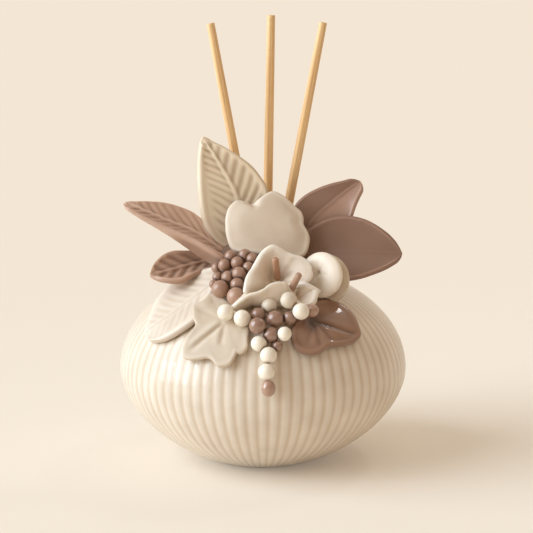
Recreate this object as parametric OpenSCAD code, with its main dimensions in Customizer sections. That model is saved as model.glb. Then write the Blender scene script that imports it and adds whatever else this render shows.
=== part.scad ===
// Reed diffuser: a ribbed pot, a stopper dressed with clay flowers, and three reeds.
// Origin at the centre of the foot, +Z up, the flowers face -Y. Millimetres and degrees.
// A bearing is 0 at the front (-Y) and grows towards the right (+X).

/* [Pot] */
// Widest diameter over the ribs
pot_d = 120; // [112:1:130]
// Height from the table to the rim
pot_h = 77; // [72:1:84]
// Height of the widest point
belly_z = 38.5; // [35:0.5:42]
// Diameter of the foot
foot_d = 42; // [36:1:50]
// Outer diameter of the rim
rim_d = 48; // [46:1:52]
// Roundness of the lower half: 2 is an ellipse, less is more tapered
lower_round = 1.8; // [1.7:0.05:2.1]
// Wall at the belly
wall = 5; // [4:0.5:6.5]
// Thickness of the floor
floor_t = 6; // [4:0.5:8]
// Number of ribs
rib_n = 82; // [60:2:90]
// Depth of the grooves at the belly
rib_depth = 1.1; // [0.6:0.1:1.5]
// Bore of the mouth
mouth_d = 40; // [38:0.5:41]
// Straight length of the mouth
mouth_l = 8; // [6:0.5:10]
// Height of the hollow under the foot
foot_hollow = 1; // [0.5:0.25:2]
// Width of the ring that the pot stands on
foot_ring = 5; // [4:0.5:7]

/* [Stopper] */
// Length of the plug below the flange
plug_l = 12; // [9:0.5:15]
// Gap around the plug in the mouth
plug_gap = 0.4; // [0.25:0.05:0.8]
// Thickness of the flange
flange_t = 3; // [2:0.25:4]
// Thickness of the gasket
gasket_t = 1; // [0.6:0.1:1.6]

/* [Flower pad] */
// Diameter of the pad
pad_d = 42; // [40:0.5:44]
// Height of the pad
pad_h = 11; // [10:0.5:13]
// Rounding of the pad's upper edge
pad_round = 7; // [5:0.5:8]
// Diameter of the stems
stem_d = 2.2; // [1.6:0.1:2.4]
// Gap around a stem in its hole
socket_gap = 0.12; // [0.08:0.02:0.2]

/* [Reeds] */
// Diameter of a reed
reed_d = 4; // [3.5:0.1:4.4]
// Diameter at its upper end
reed_tip_d = 3.4; // [2.8:0.1:3.4]
// Length of a reed
reed_l = 178; // [160:1:200]
// Length that is not tapered
reed_straight = 95; // [90:1:105]
// Gap around a reed in its hole
reed_gap = 0.1; // [0.05:0.01:0.1]
// Gap between a reed's end and the floor
reed_seat = 0.3; // [0.2:0.1:0.6]

/* [Leaves] */
// Thickness of a leaf
leaf_t = 1.6; // [1.2:0.1:1.8]
// Length of the tall cream leaf
tall_leaf_l = 46; // [40:1:52]
// Width of the tall cream leaf
tall_leaf_w = 29; // [24:1:31]
// Length of the upper left leaf
upper_left_l = 44; // [36:1:50]
// Width of the upper left leaf
upper_left_w = 20; // [16:1:22]
// Length of the lower left leaf
lower_left_l = 28; // [24:1:32]
// Width of the lower left leaf
lower_left_w = 15; // [12:1:17]
// Length of the upper right leaf
upper_right_l = 34; // [28:1:38]
// Width of the upper right leaf
upper_right_w = 19; // [15:1:21]
// Length of the right leaf
right_leaf_l = 38; // [32:1:44]
// Width of the right leaf
right_leaf_w = 26; // [22:1:28]
// Length of the cream leaf on the shoulder
shoulder_leaf_l = 37; // [32:1:40]
// Width of the cream leaf on the shoulder
shoulder_leaf_w = 24; // [20:1:25]
// Reach of the ivy leaf from its stalk to its longest lobe
ivy_reach = 23; // [19:0.5:24]
// Reach of the lower right leaf to its longest lobe
lower_right_reach = 22; // [18:0.5:23]
// Gap between the pot and what lies on it
rest_gap = 0.6; // [0.4:0.1:1]

/* [Flowers] */
// Thickness of a petal
petal_t = 2; // [1.5:0.1:2.2]
// Height of the large petal
petal_l = 27; // [23:0.5:30]
// Width of the large petal
petal_w = 36; // [31:0.5:38]
// Wall of the lily funnels
lily_t = 1.3; // [1:0.1:1.5]
// Radius of the lily funnels at the throat
lily_throat = 3; // [2.6:0.1:3.2]
// Diameter of the spadices
spadix_d = 2.5; // [2:0.1:2.7]
// Length of the large lily's spadix
large_spadix_l = 11; // [8:0.5:12]
// Length of the small lily's spadix
small_spadix_l = 10; // [7:0.5:11]
// Diameter of the button flower's front disc
button_d = 19; // [16:0.5:20]
// Thickness of each button disc
button_t = 4.2; // [3:0.2:4.6]

/* [Berries and beads] */
// Diameter of an ordinary berry
berry_d = 5; // [4:0.1:5.1]
// Diameter of an ordinary bead
bead_d = 6.4; // [5.2:0.1:6.5]
// Gap between neighbouring beads of full size
bead_gap = 0.2; // [0.1:0.05:0.5]
// Diameter of the wire in the hanging strand
wire_d = 1; // [0.6:0.1:1.2]
// Gap around the wire in a bead
wire_gap = 0.1; // [0.05:0.01:0.15]

/* [Hidden] */
$fn = 48;
clay_cream = "#efe0c6";
clay_brown = "#8a5f45";
pot_cream = "#f2dfc4";
reed_wood = "#d9bf9a";
gasket_grey = "#d8d2c6";
wire_brass = "#b9a27c";

// How far a cut runs past the face that it opens
over = 1;

// Pot profile: two quarter ovals that meet at the belly
pot_r = pot_d / 2;
foot_r = foot_d / 2;
rim_r = rim_d / 2;
mouth_r = mouth_d / 2;
upper_b = (pot_h - belly_z) / sqrt(1 - pow(rim_r / pot_r, 2));
lower_b = belly_z / pow(1 - pow(foot_r / pot_r, lower_round), 1 / lower_round);
foot_angle = acos(pow(foot_r / pot_r, lower_round / 2));
rim_angle = acos(rim_r / pot_r);
pot_rows = 6;
meridian_r = (pot_r + upper_b) / 2;

// Hollow of the pot
hollow_r = pot_r - wall;
hollow_up = (pot_h - mouth_l - belly_z) / sqrt(1 - pow(mouth_r / hollow_r, 2));
hollow_down = lower_b - wall;
hollow_mouth_angle = acos(mouth_r / hollow_r);
hollow_floor_angle = asin(pow((belly_z - floor_t) / hollow_down, lower_round / 2));
hollow_rows = 8;

// Heights of the stacked pieces on the rim
flange_z = pot_h + gasket_t;
pad_z = flange_z + flange_t;
pad_top = pad_z + pad_h;
pad_r = pad_d / 2;
gasket_inset = 0.5;

// Reeds: place at the rim plane and lean to the right and to the back
reed_left_set = [-2.4, 4.5, -10.5, 3.5];
reed_centre_set = [1.5, 14.5, 1, 1];
reed_right_set = [5.4, 10, 10.6, 2.5];

function unit(v) = v / norm(v);
function smooth(k) = k * k * (3 - 2 * k);
function blend(a, b, k) = a + smooth(k) * (b - a);
function toward(bearing, rise) = [cos(rise) * sin(bearing), -cos(rise) * cos(bearing), sin(rise)];

// Point near the pad: bearing, distance outside its side, height over its top
function from_pad(p) = [(pad_r + p[1]) * sin(p[0]), -(pad_r + p[1]) * cos(p[0]), pad_top + p[2]];

// Point at a height over the pot's shoulder, at a bearing and a profile angle
function over_pot(bearing, angle, height) =
    let (n = unit([cos(angle) / pot_r, sin(angle) / upper_b]))
    let (r = pot_r * cos(angle) + height * n[0])
    [r * sin(bearing), -r * cos(bearing), belly_z + upper_b * sin(angle) + height * n[1]];

// The same, moved east and north on the shoulder from a starting place
function drape(start, east, north, height) =
    let (angle = start[1] + north / meridian_r * 180 / PI)
    over_pot(start[0] + east / (pot_r * cos(angle)) * 180 / PI, angle, height);

// Smooth value at an angle between rows that each start with their angle
function between(rows, angle, i = 0) =
    angle <= rows[i + 1][0] || i == len(rows) - 2
        ? blend(rows[i], rows[i + 1], (angle - rows[i][0]) / (rows[i + 1][0] - rows[i][0]))
        : between(rows, angle, i + 1);

function side_faces(rows, n) = [
    for (i = [0 : rows - 2], j = [0 : n - 1])
    let (a = i * n + j, b = i * n + (j + 1) % n)
    each [[a, b + n, b], [a, a + n, b + n]]
];
function fan(centre, first, n) = [for (j = [0 : n - 1]) [centre, first + j, first + (j + 1) % n]];
function strip(first, n) = [
    for (j = [0 : n / 2 - 2])
    let (a = first + j, b = first + n - 1 - j)
    each [[a, a + 1, b - 1], [a, b - 1, b]]
];
function turned(faces) = [for (f = faces) [f[2], f[1], f[0]]];

// Closed skin over rings, with a centre point at each end
module skin(rings, first_centre, last_centre) {
    n = len(rings[0]);
    rows = len(rings);
    points = concat([for (ring = rings) each ring], [first_centre, last_centre]);
    ends = concat(fan(rows * n, 0, n), turned(fan(rows * n + 1, (rows - 1) * n, n)));
    polyhedron(points, concat(side_faces(rows, n), ends));
}

// Closed skin over flat rings: an upper row and the lower row that returns under it
module sheet(rings) {
    n = len(rings[0]);
    rows = len(rings);
    ends = concat(strip(0, n), turned(strip((rows - 1) * n, n)));
    polyhedron([for (ring = rings) each ring], concat(side_faces(rows, n), ends));
}

// Children with +X ahead and +Z towards the face direction
module set_at(origin, ahead, face) {
    x = unit(ahead);
    z = unit(face - (face * x) * x);
    y = cross(z, x);
    multmatrix([
        [x[0], y[0], z[0], origin[0]],
        [x[1], y[1], z[1], origin[1]],
        [x[2], y[2], z[2], origin[2]],
        [0, 0, 0, 1]
    ]) children();
}

// Straight round bar; steep is the rise past which the bar counts as upright
steep = 0.9;
module rod(from, to, d) {
    side = abs(unit(to - from)[2]) > steep ? [1, 0, 0] : [0, 0, 1];
    set_at(from, to - from, side) rotate([0, 90, 0]) cylinder(d = d, h = norm(to - from));
}

// Leaf blades: [root, hold, aim, face, [length, width], [bow, cup, sweep], [skew, blunt], thickness]
// root and hold are places near the pad, hold being the inner end of the stem
tall_leaf_set = [[-62, -9.7, 1.5], [-54, -11, -4.6], [-115, 68], [0, 10],
    [tall_leaf_l, tall_leaf_w], [1, 2.5, -4.5], [0.68, 0.8], leaf_t];
upper_left_set = [[-65, 1, -3.5], [-60, -4.7, -6.5], [-83, 30], [35, 45],
    [upper_left_l, upper_left_w], [1, 4, 0], [0.8, 0.8], leaf_t];
lower_left_set = [[-76, 1.5, -6.5], [-76, -5, -6.4], [-70, -4], [-10, 50],
    [lower_left_l, lower_left_w], [1.5, -1, 0], [0.9, 0.7], leaf_t];
upper_right_set = [[75, -3, 0.2], [66, -6.4, -4], [107, 44], [0, 15],
    [upper_right_l, upper_right_w], [1, 1.5, 0], [1, 0.7], leaf_t];
right_leaf_set = [[65, 1.5, -5], [58, -5, -6], [90, 3], [0, 30],
    [right_leaf_l, right_leaf_w], [2, 3, 0], [0.85, 0.65], leaf_t];
petal_set = [[4, 0.6, -3.2], [4, -4.5, -5.5], [170, 62], [0, 25],
    [petal_l, petal_w], [-1, 2, 0], [0.85, 0.35], petal_t];
LEAVES = [tall_leaf_set, upper_left_set, lower_left_set, upper_right_set, right_leaf_set, petal_set];

leaf_rows = 10;
leaf_across = 6;
// Half width of a blade at its root and tip, lap of a stem in its blade, gap past a stem's end
end_half = 1;
stem_lap = 1.5;
stem_rest = 0.3;

function blade_half(s, w, shape) =
    end_half + (w / 2 - end_half) * pow(max(0, sin(180 * pow(s, shape[0]))), shape[1]);
function blade_mid(s, t, size, form, shape) =
    let (half = blade_half(s, size[1], shape))
    [
        size[0] * s,
        t * half + form[2] * 4 * s * (1 - s),
        form[0] * 4 * s * (1 - s) + form[1] * t * t * 2 * half / size[1]
    ];
function across_t(j) = 1 - 2 * j / leaf_across;
function blade_row(s, set, shift) = [
    for (j = [0 : leaf_across]) blade_mid(s, across_t(j), set[4], set[5], set[6]) + [0, 0, shift]
];
function backwards(row) = [for (j = [len(row) - 1 : -1 : 0]) row[j]];

function leaf_base(set) = from_pad(set[0]);
function leaf_aim(set) = toward(set[2][0], set[2][1]);

module leaf(set) {
    half_t = set[7] / 2;
    set_at(leaf_base(set), leaf_aim(set), toward(set[3][0], set[3][1]))
        sheet([
            for (i = [0 : leaf_rows])
            concat(blade_row(i / leaf_rows, set, half_t), backwards(blade_row(i / leaf_rows, set, -half_t)))
        ]);
    rod(leaf_base(set) + stem_lap * leaf_aim(set), from_pad(set[1]), stem_d);
}

// Holes in the pad, a little longer than the stem or wire that ends at the hold
module hole(outside, hold, d) {
    rod(outside, hold + stem_rest * unit(hold - outside), d);
}

module socket(outside, hold) {
    hole(outside, hold, stem_d + 2 * socket_gap);
}

// Lilies: place near the pad, axis, hold of the stem, rim rows of [angle, radius, rise]
large_lily_at = [9.7, 7.4, -13];
large_lily_axis = unit([0.05, -0.62, 0.78]);
large_lily_hold = [17, -4.3, -6];
large_lily_rim = [[0, 5.5, 13], [30, 6, 13.5], [65, 7, 13.5], [100, 9, 14], [125, 9, 12], [155, 9, 10],
    [180, 10, 9], [210, 15.5, 7.5], [225, 23, 7], [240, 18, 10], [260, 12.5, 12], [280, 9.5, 12.5],
    [300, 7.5, 11.5], [340, 5.5, 12.5], [360, 5.5, 13]];
small_lily_at = [17.4, 15.7, -16.8];
small_lily_axis = unit([0.3, -0.6, 0.74]);
small_lily_hold = [28, -2, -6];
small_lily_rim = [[0, 7, 10], [30, 8.5, 12], [55, 10, 13.5], [70, 10.5, 13], [90, 6.5, 11.5], [120, 4, 9],
    [180, 3.5, 6.5], [230, 5, 5.5], [255, 8, 6.5], [275, 10, 8.5], [300, 9.5, 10.5], [320, 8.5, 11],
    [345, 6, 9.5], [360, 7, 10]];
lily_steps = 24;
lily_rows = 5;
lily_depth = 10;
lily_flare = 1.6;
lily_floor = lily_depth * sin(90 / lily_rows);
// Gap between a spadix and the middle of its funnel's floor
spadix_gap = 0.5;

function lily_ring(rim, share, inner) = [
    for (j = [0 : lily_steps - 1])
    let (angle = 360 * j / lily_steps, row = between(rim, angle))
    let (radius = lily_throat + (row[1] - lily_throat) * pow(share, lily_flare) - inner * lily_t * (1 - share))
    let (rise = (lily_depth * (1 - share) + row[2] * share) * sin(90 * share) + inner * lily_t * share)
    [rise, radius * cos(angle), radius * sin(angle)]
];

function lily_root(at, axis) = from_pad(at) + stem_lap * axis;

module lily(at, axis, rim, hold) {
    outer = [for (i = [0 : lily_rows]) lily_ring(rim, i / lily_rows, 0)];
    inner = [for (i = [lily_rows : -1 : 1]) lily_ring(rim, i / lily_rows, 1)];
    set_at(from_pad(at), axis, [0, 0, 1]) skin(concat(outer, inner), [0, 0, 0], [lily_floor, 0, 0]);
    rod(lily_root(at, axis), from_pad(hold), stem_d);
}

module spadix(at, axis, l) {
    start = from_pad(at) + (lily_floor + spadix_gap) * axis;
    set_at(start, axis, [0, 0, 1]) rotate([0, 90, 0]) {
        cylinder(d = spadix_d, h = l - spadix_d / 2);
        translate([0, 0, l - spadix_d / 2]) sphere(d = spadix_d);
    }
}

// Button flower: two discs on one axis
button_at = [39, 17.2, -7.6];
button_axis = unit([-0.56, -0.8, 0.2]);
button_hold = [41.5, -3.6, -7.5];
button_dimple = 1.6;
button_back_extra = 2;
button_layer_gap = 0.15;
button_stem_lap = 0.9;

button_back_depth = 2 * button_t + button_layer_gap;
button_stem = from_pad(button_at) - (button_back_depth - button_stem_lap) * button_axis;

// Lobed leaves on the shoulder: start [bearing, profile angle] of the stalk,
// and outline rows of [angle from north, share of the reach, lift]
ivy_start = [-18.7, 40.6];
ivy_rows = [[0, 0.45, 0], [105, 0.45, 0], [145, 0.75, 1], [155, 0.75, 1.2], [165, 0.9, 2], [180, 0.8, 1.4],
    [215, 1, 2], [250, 0.55, 1.6], [285, 0.75, 3.6], [300, 0.6, 3.2], [315, 0.55, 1.6], [360, 0.45, 0]];
lower_right_start = [24.4, 40.1];
lower_right_rows = [[0, 0.3, 0], [45, 0.65, 0.6], [90, 0.9, 1.5], [120, 1, 1], [160, 0.6, 0.6], [195, 0.75, 1],
    [220, 0.7, 0.4], [240, 0.55, 0], [275, 0.3, 0], [360, 0.3, 0]];
lobed_steps = 40;
lobed_rings = 3;

function lobed_ring(start, rows, reach, share, height) = [
    for (j = [0 : lobed_steps - 1])
    let (angle = 360 * j / lobed_steps, row = between(rows, angle), r = reach * share * row[1])
    drape(start, r * sin(angle), r * cos(angle), height + row[2] * share * share)
];

module lobed_leaf(start, rows, reach) {
    low = rest_gap;
    high = rest_gap + leaf_t;
    upper = [for (i = [1 : lobed_rings]) lobed_ring(start, rows, reach, i / lobed_rings, high)];
    lower = [for (i = [lobed_rings : -1 : 1]) lobed_ring(start, rows, reach, i / lobed_rings, low)];
    skin(concat(upper, lower), drape(start, 0, 0, high), drape(start, 0, 0, low));
}

// Cream leaf on the shoulder: its root on the shoulder, its heading from north,
// its lift at the root and how fast that lift fades towards the tip
shoulder_leaf_start = [-49, 66];
shoulder_leaf_heading = 186;
shoulder_leaf_lift = 4.5;
shoulder_leaf_fade = 4;
shoulder_leaf_shape = [0.85, 0.7];
shoulder_leaf_hold = [-44, -3.7, -7.5];

function shoulder_row(s, height) = [
    for (j = [0 : leaf_across])
    let (side = across_t(j) * blade_half(s, shoulder_leaf_w, shoulder_leaf_shape))
    let (along = shoulder_leaf_l * s)
    let (h = rest_gap + shoulder_leaf_lift * pow(1 - s, shoulder_leaf_fade) + height)
    drape(
        shoulder_leaf_start,
        along * sin(shoulder_leaf_heading) - side * cos(shoulder_leaf_heading),
        along * cos(shoulder_leaf_heading) + side * sin(shoulder_leaf_heading),
        h
    )
];

shoulder_root = drape(shoulder_leaf_start, 0, -stem_lap, rest_gap + shoulder_leaf_lift + leaf_t / 2);

// Berries: place from the cluster's middle and size, in berry diameters
berry_at = [-23.5, 9.4, -7.8];
BERRIES = [
    [-0.2, 1.1, 1.1, 0.9], [0.95, 0.75, 1.3, 0.9], [1.55, 0.15, 1.1, 0.8], [0.35, 0.3, 0.75, 0.9],
    [1.25, -0.4, 0.5, 0.8], [-0.7, 0.6, 0.5, 0.9], [-1.35, 1.05, 0.2, 0.75], [0.5, -0.75, 0.05, 1],
    [-0.4, -0.5, -0.3, 0.95], [-1.25, 0, -0.4, 0.75], [-1.55, -0.5, -0.85, 0.65],
    [0.35, -1.4, -0.7, 0.95], [-1, -1.25, -1.1, 1.15], [0.15, -2.2, -1.55, 1.15]
];
stalk_core_d = 5.6;
stalk_core_at = [0.1, 0.64, -0.2];
stalk_hold = [-29, -3.3, -6];

// Beads: place east and north of the strand's line and lift over the pot, in bead pitches, and size
bead_pitch = bead_d + bead_gap;
bead_start = [2, 40];
CREAM_BEADS = [
    [-2.25, 0.25, 0.4, 1], [-1.4, -0.05, 0.3, 1], [1.8, 0.1, 0.9, 0.95],
    [1.05, -1.05, 0.4, 0.85], [-0.6, -1.5, 0, 0.95], [1, 0.85, 1, 0.95]
];
BROWN_BEADS = [
    [-0.5, 0.65, 0.05, 0.85], [-0.55, -0.6, 0.4, 1], [1.3, 0.1, 0.15, 0.85],
    [0.65, -1.65, 0, 0.65], [2.7, 0.35, 0.3, 0.85]
];
STRAND = [
    [0.15, 1.15, 0.15, 0.95], [0.4, 0.15, 0.05, 1], [0.2, -0.95, 0, 0.95],
    [0.05, -2.2, 0, 1], [-0.1, -3.3, 0, 1], [0, -4.4, 0, 0.95]
];
STRAND_CREAM = [0, 3, 4];
STRAND_BROWN = [1, 2];
STRAND_END = len(STRAND) - 1;
wire_hold = [-12, -4, -9];
wire_exit = [-12, 2, -9.3];

function bead_at(b) =
    let (height = b[3] * bead_d / 2 + rest_gap + b[2] * bead_pitch)
    drape(bead_start, b[0] * bead_pitch, b[1] * bead_pitch, height);
wire_points = concat([from_pad(wire_hold), from_pad(wire_exit)], [for (b = STRAND) bead_at(b)]);

wire_last = len(wire_points) - 1;
wire_sides = 8;

function wire_ahead(i) = unit(wire_points[min(i + 1, wire_last)] - wire_points[max(i - 1, 0)]);
function wire_ring(centre, ahead, d) =
    let (up = unit(cross([1, 0, 0], ahead)), side = cross(ahead, up))
    [
        for (j = [0 : wire_sides - 1])
        let (angle = 360 * j / wire_sides)
        centre + d / 2 * (cos(angle) * up + sin(angle) * side)
    ];

// Tube along the wire's points, longer than the wire by past at its lower end
module wire_path(d, past) {
    end = wire_points[wire_last] + past * wire_ahead(wire_last);
    centres = [for (i = [0 : wire_last]) i == wire_last ? end : wire_points[i]];
    skin([for (i = [0 : wire_last]) wire_ring(centres[i], wire_ahead(i), d)], centres[0], end);
}

module bead(b) {
    translate(bead_at(b)) sphere(d = b[3] * bead_d);
}

module strand_bead(i) {
    difference() {
        bead(STRAND[i]);
        wire_path(wire_d + 2 * wire_gap, stem_rest);
    }
}

function pot_ring(angle) = [
    for (j = [0 : 2 * rib_n - 1])
    let (power = angle < 0 ? 2 / lower_round : 1)
    let (base = pot_r * pow(cos(angle), power))
    let (r = base - (j % 2) * rib_depth * base / pot_r, bearing = 180 * j / rib_n)
    let (z = belly_z + (angle < 0 ? -lower_b * pow(sin(-angle), power) : upper_b * sin(angle)))
    [r * sin(bearing), -r * cos(bearing), z]
];

function hollow_point(angle) =
    let (power = angle < 0 ? 2 / lower_round : 1)
    [
        hollow_r * pow(cos(angle), power),
        belly_z + (angle < 0 ? -hollow_down * pow(sin(-angle), power) : hollow_up * sin(angle))
    ];

module pot() {
    angles = concat(
        [for (i = [0 : pot_rows - 1]) -foot_angle * (1 - i / pot_rows)],
        [for (i = [0 : pot_rows]) rim_angle * i / pot_rows]
    );
    curve = concat(
        [for (i = [0 : hollow_rows - 1]) hollow_point(-hollow_floor_angle * (1 - i / hollow_rows))],
        [for (i = [0 : hollow_rows]) hollow_point(hollow_mouth_angle * i / hollow_rows)]
    );
    color(pot_cream) difference() {
        skin([for (a = angles) pot_ring(a)], [0, 0, 0], [0, 0, pot_h]);
        rotate_extrude() polygon(concat([[0, floor_t]], curve, [[mouth_r, pot_h + over], [0, pot_h + over]]));
        translate([0, 0, -over]) cylinder(r = foot_r - foot_ring, h = foot_hollow + over);
    }
}

function reed_way(set) = unit([tan(set[2]), tan(set[3]), 1]);
function reed_foot(set) =
    let (way = reed_way(set))
    let (end_z = floor_t + reed_seat + reed_d / 2 * norm([way[0], way[1]]))
    [set[0], set[1], pot_h] + (end_z - pot_h) / way[2] * way;

module reed_hole(set) {
    rod(reed_foot(set), reed_foot(set) + reed_l * reed_way(set), reed_d + 2 * reed_gap);
}

module reed(set) {
    set_at(reed_foot(set), reed_way(set), [0, -1, 0]) rotate([0, 90, 0]) {
        cylinder(d = reed_d, h = reed_straight);
        translate([0, 0, reed_straight]) cylinder(d1 = reed_d, d2 = reed_tip_d, h = reed_l - reed_straight);
    }
}

module reed_holes() {
    for (set = [reed_left_set, reed_centre_set, reed_right_set]) reed_hole(set);
}

module reed_left() { color(reed_wood) reed(reed_left_set); }
module reed_centre() { color(reed_wood) reed(reed_centre_set); }
module reed_right() { color(reed_wood) reed(reed_right_set); }

module stopper() {
    color(clay_cream) difference() {
        union() {
            translate([0, 0, flange_z]) cylinder(d = rim_d, h = flange_t);
            translate([0, 0, flange_z - plug_l]) cylinder(r = mouth_r - plug_gap, h = plug_l + flange_t);
        }
        reed_holes();
    }
}

module gasket() {
    color(gasket_grey) translate([0, 0, pot_h]) difference() {
        cylinder(d = rim_d - 2 * gasket_inset, h = gasket_t);
        translate([0, 0, -over]) cylinder(d = mouth_d, h = gasket_t + 2 * over);
    }
}

module flower_pad() {
    color(clay_cream) difference() {
        translate([0, 0, pad_z]) rotate_extrude() {
            square([pad_r, pad_h - pad_round]);
            square([pad_r - pad_round, pad_h]);
            intersection() {
                translate([pad_r - pad_round, pad_h - pad_round]) circle(r = pad_round);
                square([pad_r, pad_h]);
            }
        }
        reed_holes();
        for (set = LEAVES) socket(leaf_base(set) + stem_lap * leaf_aim(set), from_pad(set[1]));
        socket(shoulder_root, from_pad(shoulder_leaf_hold));
        socket(lily_root(large_lily_at, large_lily_axis), from_pad(large_lily_hold));
        socket(lily_root(small_lily_at, small_lily_axis), from_pad(small_lily_hold));
        socket(button_stem, from_pad(button_hold));
        socket(stalk_core, from_pad(stalk_hold));
        hole(from_pad(wire_exit), from_pad(wire_hold), wire_d + 2 * wire_gap);
    }
}

module tall_leaf() { color(clay_cream) leaf(tall_leaf_set); }
module upper_left_leaf() { color(clay_brown) leaf(upper_left_set); }
module lower_left_leaf() { color(clay_brown) leaf(lower_left_set); }
module upper_right_leaf() { color(clay_brown) leaf(upper_right_set); }
module right_leaf() { color(clay_brown) leaf(right_leaf_set); }
module large_petal() { color(clay_cream) leaf(petal_set); }

module shoulder_leaf() {
    color(clay_cream) {
        sheet([
            for (i = [0 : leaf_rows])
            concat(shoulder_row(i / leaf_rows, leaf_t), backwards(shoulder_row(i / leaf_rows, 0)))
        ]);
        rod(shoulder_root, from_pad(shoulder_leaf_hold), stem_d);
    }
}

module ivy_leaf() { color(clay_cream) lobed_leaf(ivy_start, ivy_rows, ivy_reach); }
module lower_right_leaf() {
    color(clay_brown) lobed_leaf(lower_right_start, lower_right_rows, lower_right_reach);
}

module large_lily() { color(clay_cream) lily(large_lily_at, large_lily_axis, large_lily_rim, large_lily_hold); }
module small_lily() { color(clay_cream) lily(small_lily_at, small_lily_axis, small_lily_rim, small_lily_hold); }
module large_spadix() { color(clay_brown) spadix(large_lily_at, large_lily_axis, large_spadix_l); }
module small_spadix() { color(clay_brown) spadix(small_lily_at, small_lily_axis, small_spadix_l); }

// Disc with a round edge, its front at the top
module button_disc(d) {
    round_r = button_t / 2;
    rotate_extrude() {
        square([d / 2 - round_r, button_t]);
        intersection() {
            translate([d / 2 - round_r, round_r]) circle(r = round_r);
            square([d, button_t]);
        }
    }
}

module on_button_axis(back) {
    set_at(from_pad(button_at) - back * button_axis, button_axis, [0, 0, 1]) rotate([0, 90, 0]) children();
}

module button_front() {
    color(clay_cream) on_button_axis(button_t) difference() {
        button_disc(button_d);
        translate([0, 0, button_t + button_d / 2 - button_dimple]) sphere(d = button_d);
    }
}

module button_back() {
    color(clay_cream) {
        on_button_axis(button_back_depth) button_disc(button_d + button_back_extra);
        rod(button_stem, from_pad(button_hold), stem_d);
    }
}

function berry_centre(p) = from_pad(berry_at) + berry_d * [p[0], p[1], p[2]];
stalk_core = berry_centre(stalk_core_at);

module berries() {
    color(clay_brown) for (b = BERRIES) translate(berry_centre(b)) sphere(d = b[3] * berry_d);
}

module berry_stalk() {
    color(clay_brown) {
        translate(stalk_core) sphere(d = stalk_core_d);
        rod(stalk_core, from_pad(stalk_hold), stem_d);
    }
}

module cream_beads() { color(clay_cream) for (b = CREAM_BEADS) bead(b); }
module brown_beads() { color(clay_brown) for (b = BROWN_BEADS) bead(b); }
module strand_cream_beads() { color(clay_cream) for (i = STRAND_CREAM) strand_bead(i); }
module strand_brown_beads() { color(clay_brown) for (i = STRAND_BROWN) strand_bead(i); }
module strand_drop() { color(clay_brown) strand_bead(STRAND_END); }
module strand_wire() { color(wire_brass) wire_path(wire_d, 0); }

pot();
stopper();
gasket();
flower_pad();
reed_left();
reed_centre();
reed_right();
tall_leaf();
upper_left_leaf();
lower_left_leaf();
shoulder_leaf();
ivy_leaf();
upper_right_leaf();
right_leaf();
lower_right_leaf();
large_petal();
large_lily();
large_spadix();
small_lily();
small_spadix();
button_front();
button_back();
berries();
berry_stalk();
cream_beads();
brown_beads();
strand_cream_beads();
strand_brown_beads();
strand_drop();
strand_wire();
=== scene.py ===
"""Looks of a reed diffuser: ribbed pot, clay flower spray on its stopper, and three wooden reeds.

Places are worked out in millimetres and degrees from the same sizes as the solids, and turned into metres
when a mesh is made. A bearing is 0 at the front (-Y) and grows towards the right (+X).
"""
import math

import bmesh
import bpy
import numpy as np
from mathutils import Matrix, Vector


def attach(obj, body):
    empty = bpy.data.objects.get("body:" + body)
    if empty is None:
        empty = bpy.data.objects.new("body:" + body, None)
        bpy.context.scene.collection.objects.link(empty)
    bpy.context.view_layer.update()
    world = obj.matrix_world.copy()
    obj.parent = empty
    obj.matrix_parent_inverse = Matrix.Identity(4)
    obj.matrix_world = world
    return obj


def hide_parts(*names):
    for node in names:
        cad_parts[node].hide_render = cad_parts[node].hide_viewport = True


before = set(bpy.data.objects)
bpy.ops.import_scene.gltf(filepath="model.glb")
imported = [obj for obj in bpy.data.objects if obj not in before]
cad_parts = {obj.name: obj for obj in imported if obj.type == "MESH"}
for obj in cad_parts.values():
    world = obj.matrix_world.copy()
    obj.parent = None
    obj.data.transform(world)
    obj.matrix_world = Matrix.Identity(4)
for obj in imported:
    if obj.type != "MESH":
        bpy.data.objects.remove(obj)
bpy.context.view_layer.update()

MM = 0.001

# Sizes of the pot
POT_R = 60.0
POT_H = 77.0
BELLY_Z = 38.5
FOOT_R = 21.0
RIM_R = 24.0
MOUTH_R = 20.0
MOUTH_L = 8.0
WALL = 5.0
FLOOR_T = 6.0
LOWER_ROUND = 1.8
RIB_N = 82
RIB_DEPTH = 0.22
GROOVE_POWER = 2.4
# Relief of the ribs: crests painted lighter as a highlight; grooves darker, partly glaze pooled in them and
# partly painted shade
CREST_HIGHLIGHT = 0.6
GROOVE_POOLING_AND_SHADE = -0.8
FOOT_HOLLOW = 1.0
FOOT_RING = 5.0
EDGE_ROUND = 0.8
UPPER_B = (POT_H - BELLY_Z) / math.sqrt(1 - (RIM_R / POT_R) ** 2)
LOWER_B = BELLY_Z / (1 - (FOOT_R / POT_R) ** LOWER_ROUND) ** (1 / LOWER_ROUND)
MERIDIAN_R = (POT_R + UPPER_B) / 2

# Sizes of the spray
PAD_R = 21.0
PAD_TOP = 92.0
STEM_D = 2.2
STEM_LAP = 1.5
LEAF_T = 1.6
PETAL_T = 2.0
REST_GAP = 0.6
LILY_T = 1.8
LILY_THROAT = 3.0
SPADIX_LIFT = 3.6
LILY_FLARE = 1.6
SPADIX_D = 2.9
SPADIX_SLIM = 0.92
BUTTON_D = 19.0
BUTTON_T = 4.2
BERRY_D = 5.0
BEAD_D = 6.4
BEAD_PITCH = 6.6

# Painted shade and painted highlight that follow the shapes
# Rise in millimetres that takes a face from its plain tone to its crest tone, which is a painted highlight
RELIEF_SCALE = 0.4
# Gap in millimetres to the next ball under which a berry or bead is painted darker, as shade where the balls
# touch
CROWD_GAP = 1.3
# Relief by which the drop at the strand's end is lighter than the brown beads
DROP_TINT = 0.9

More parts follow.
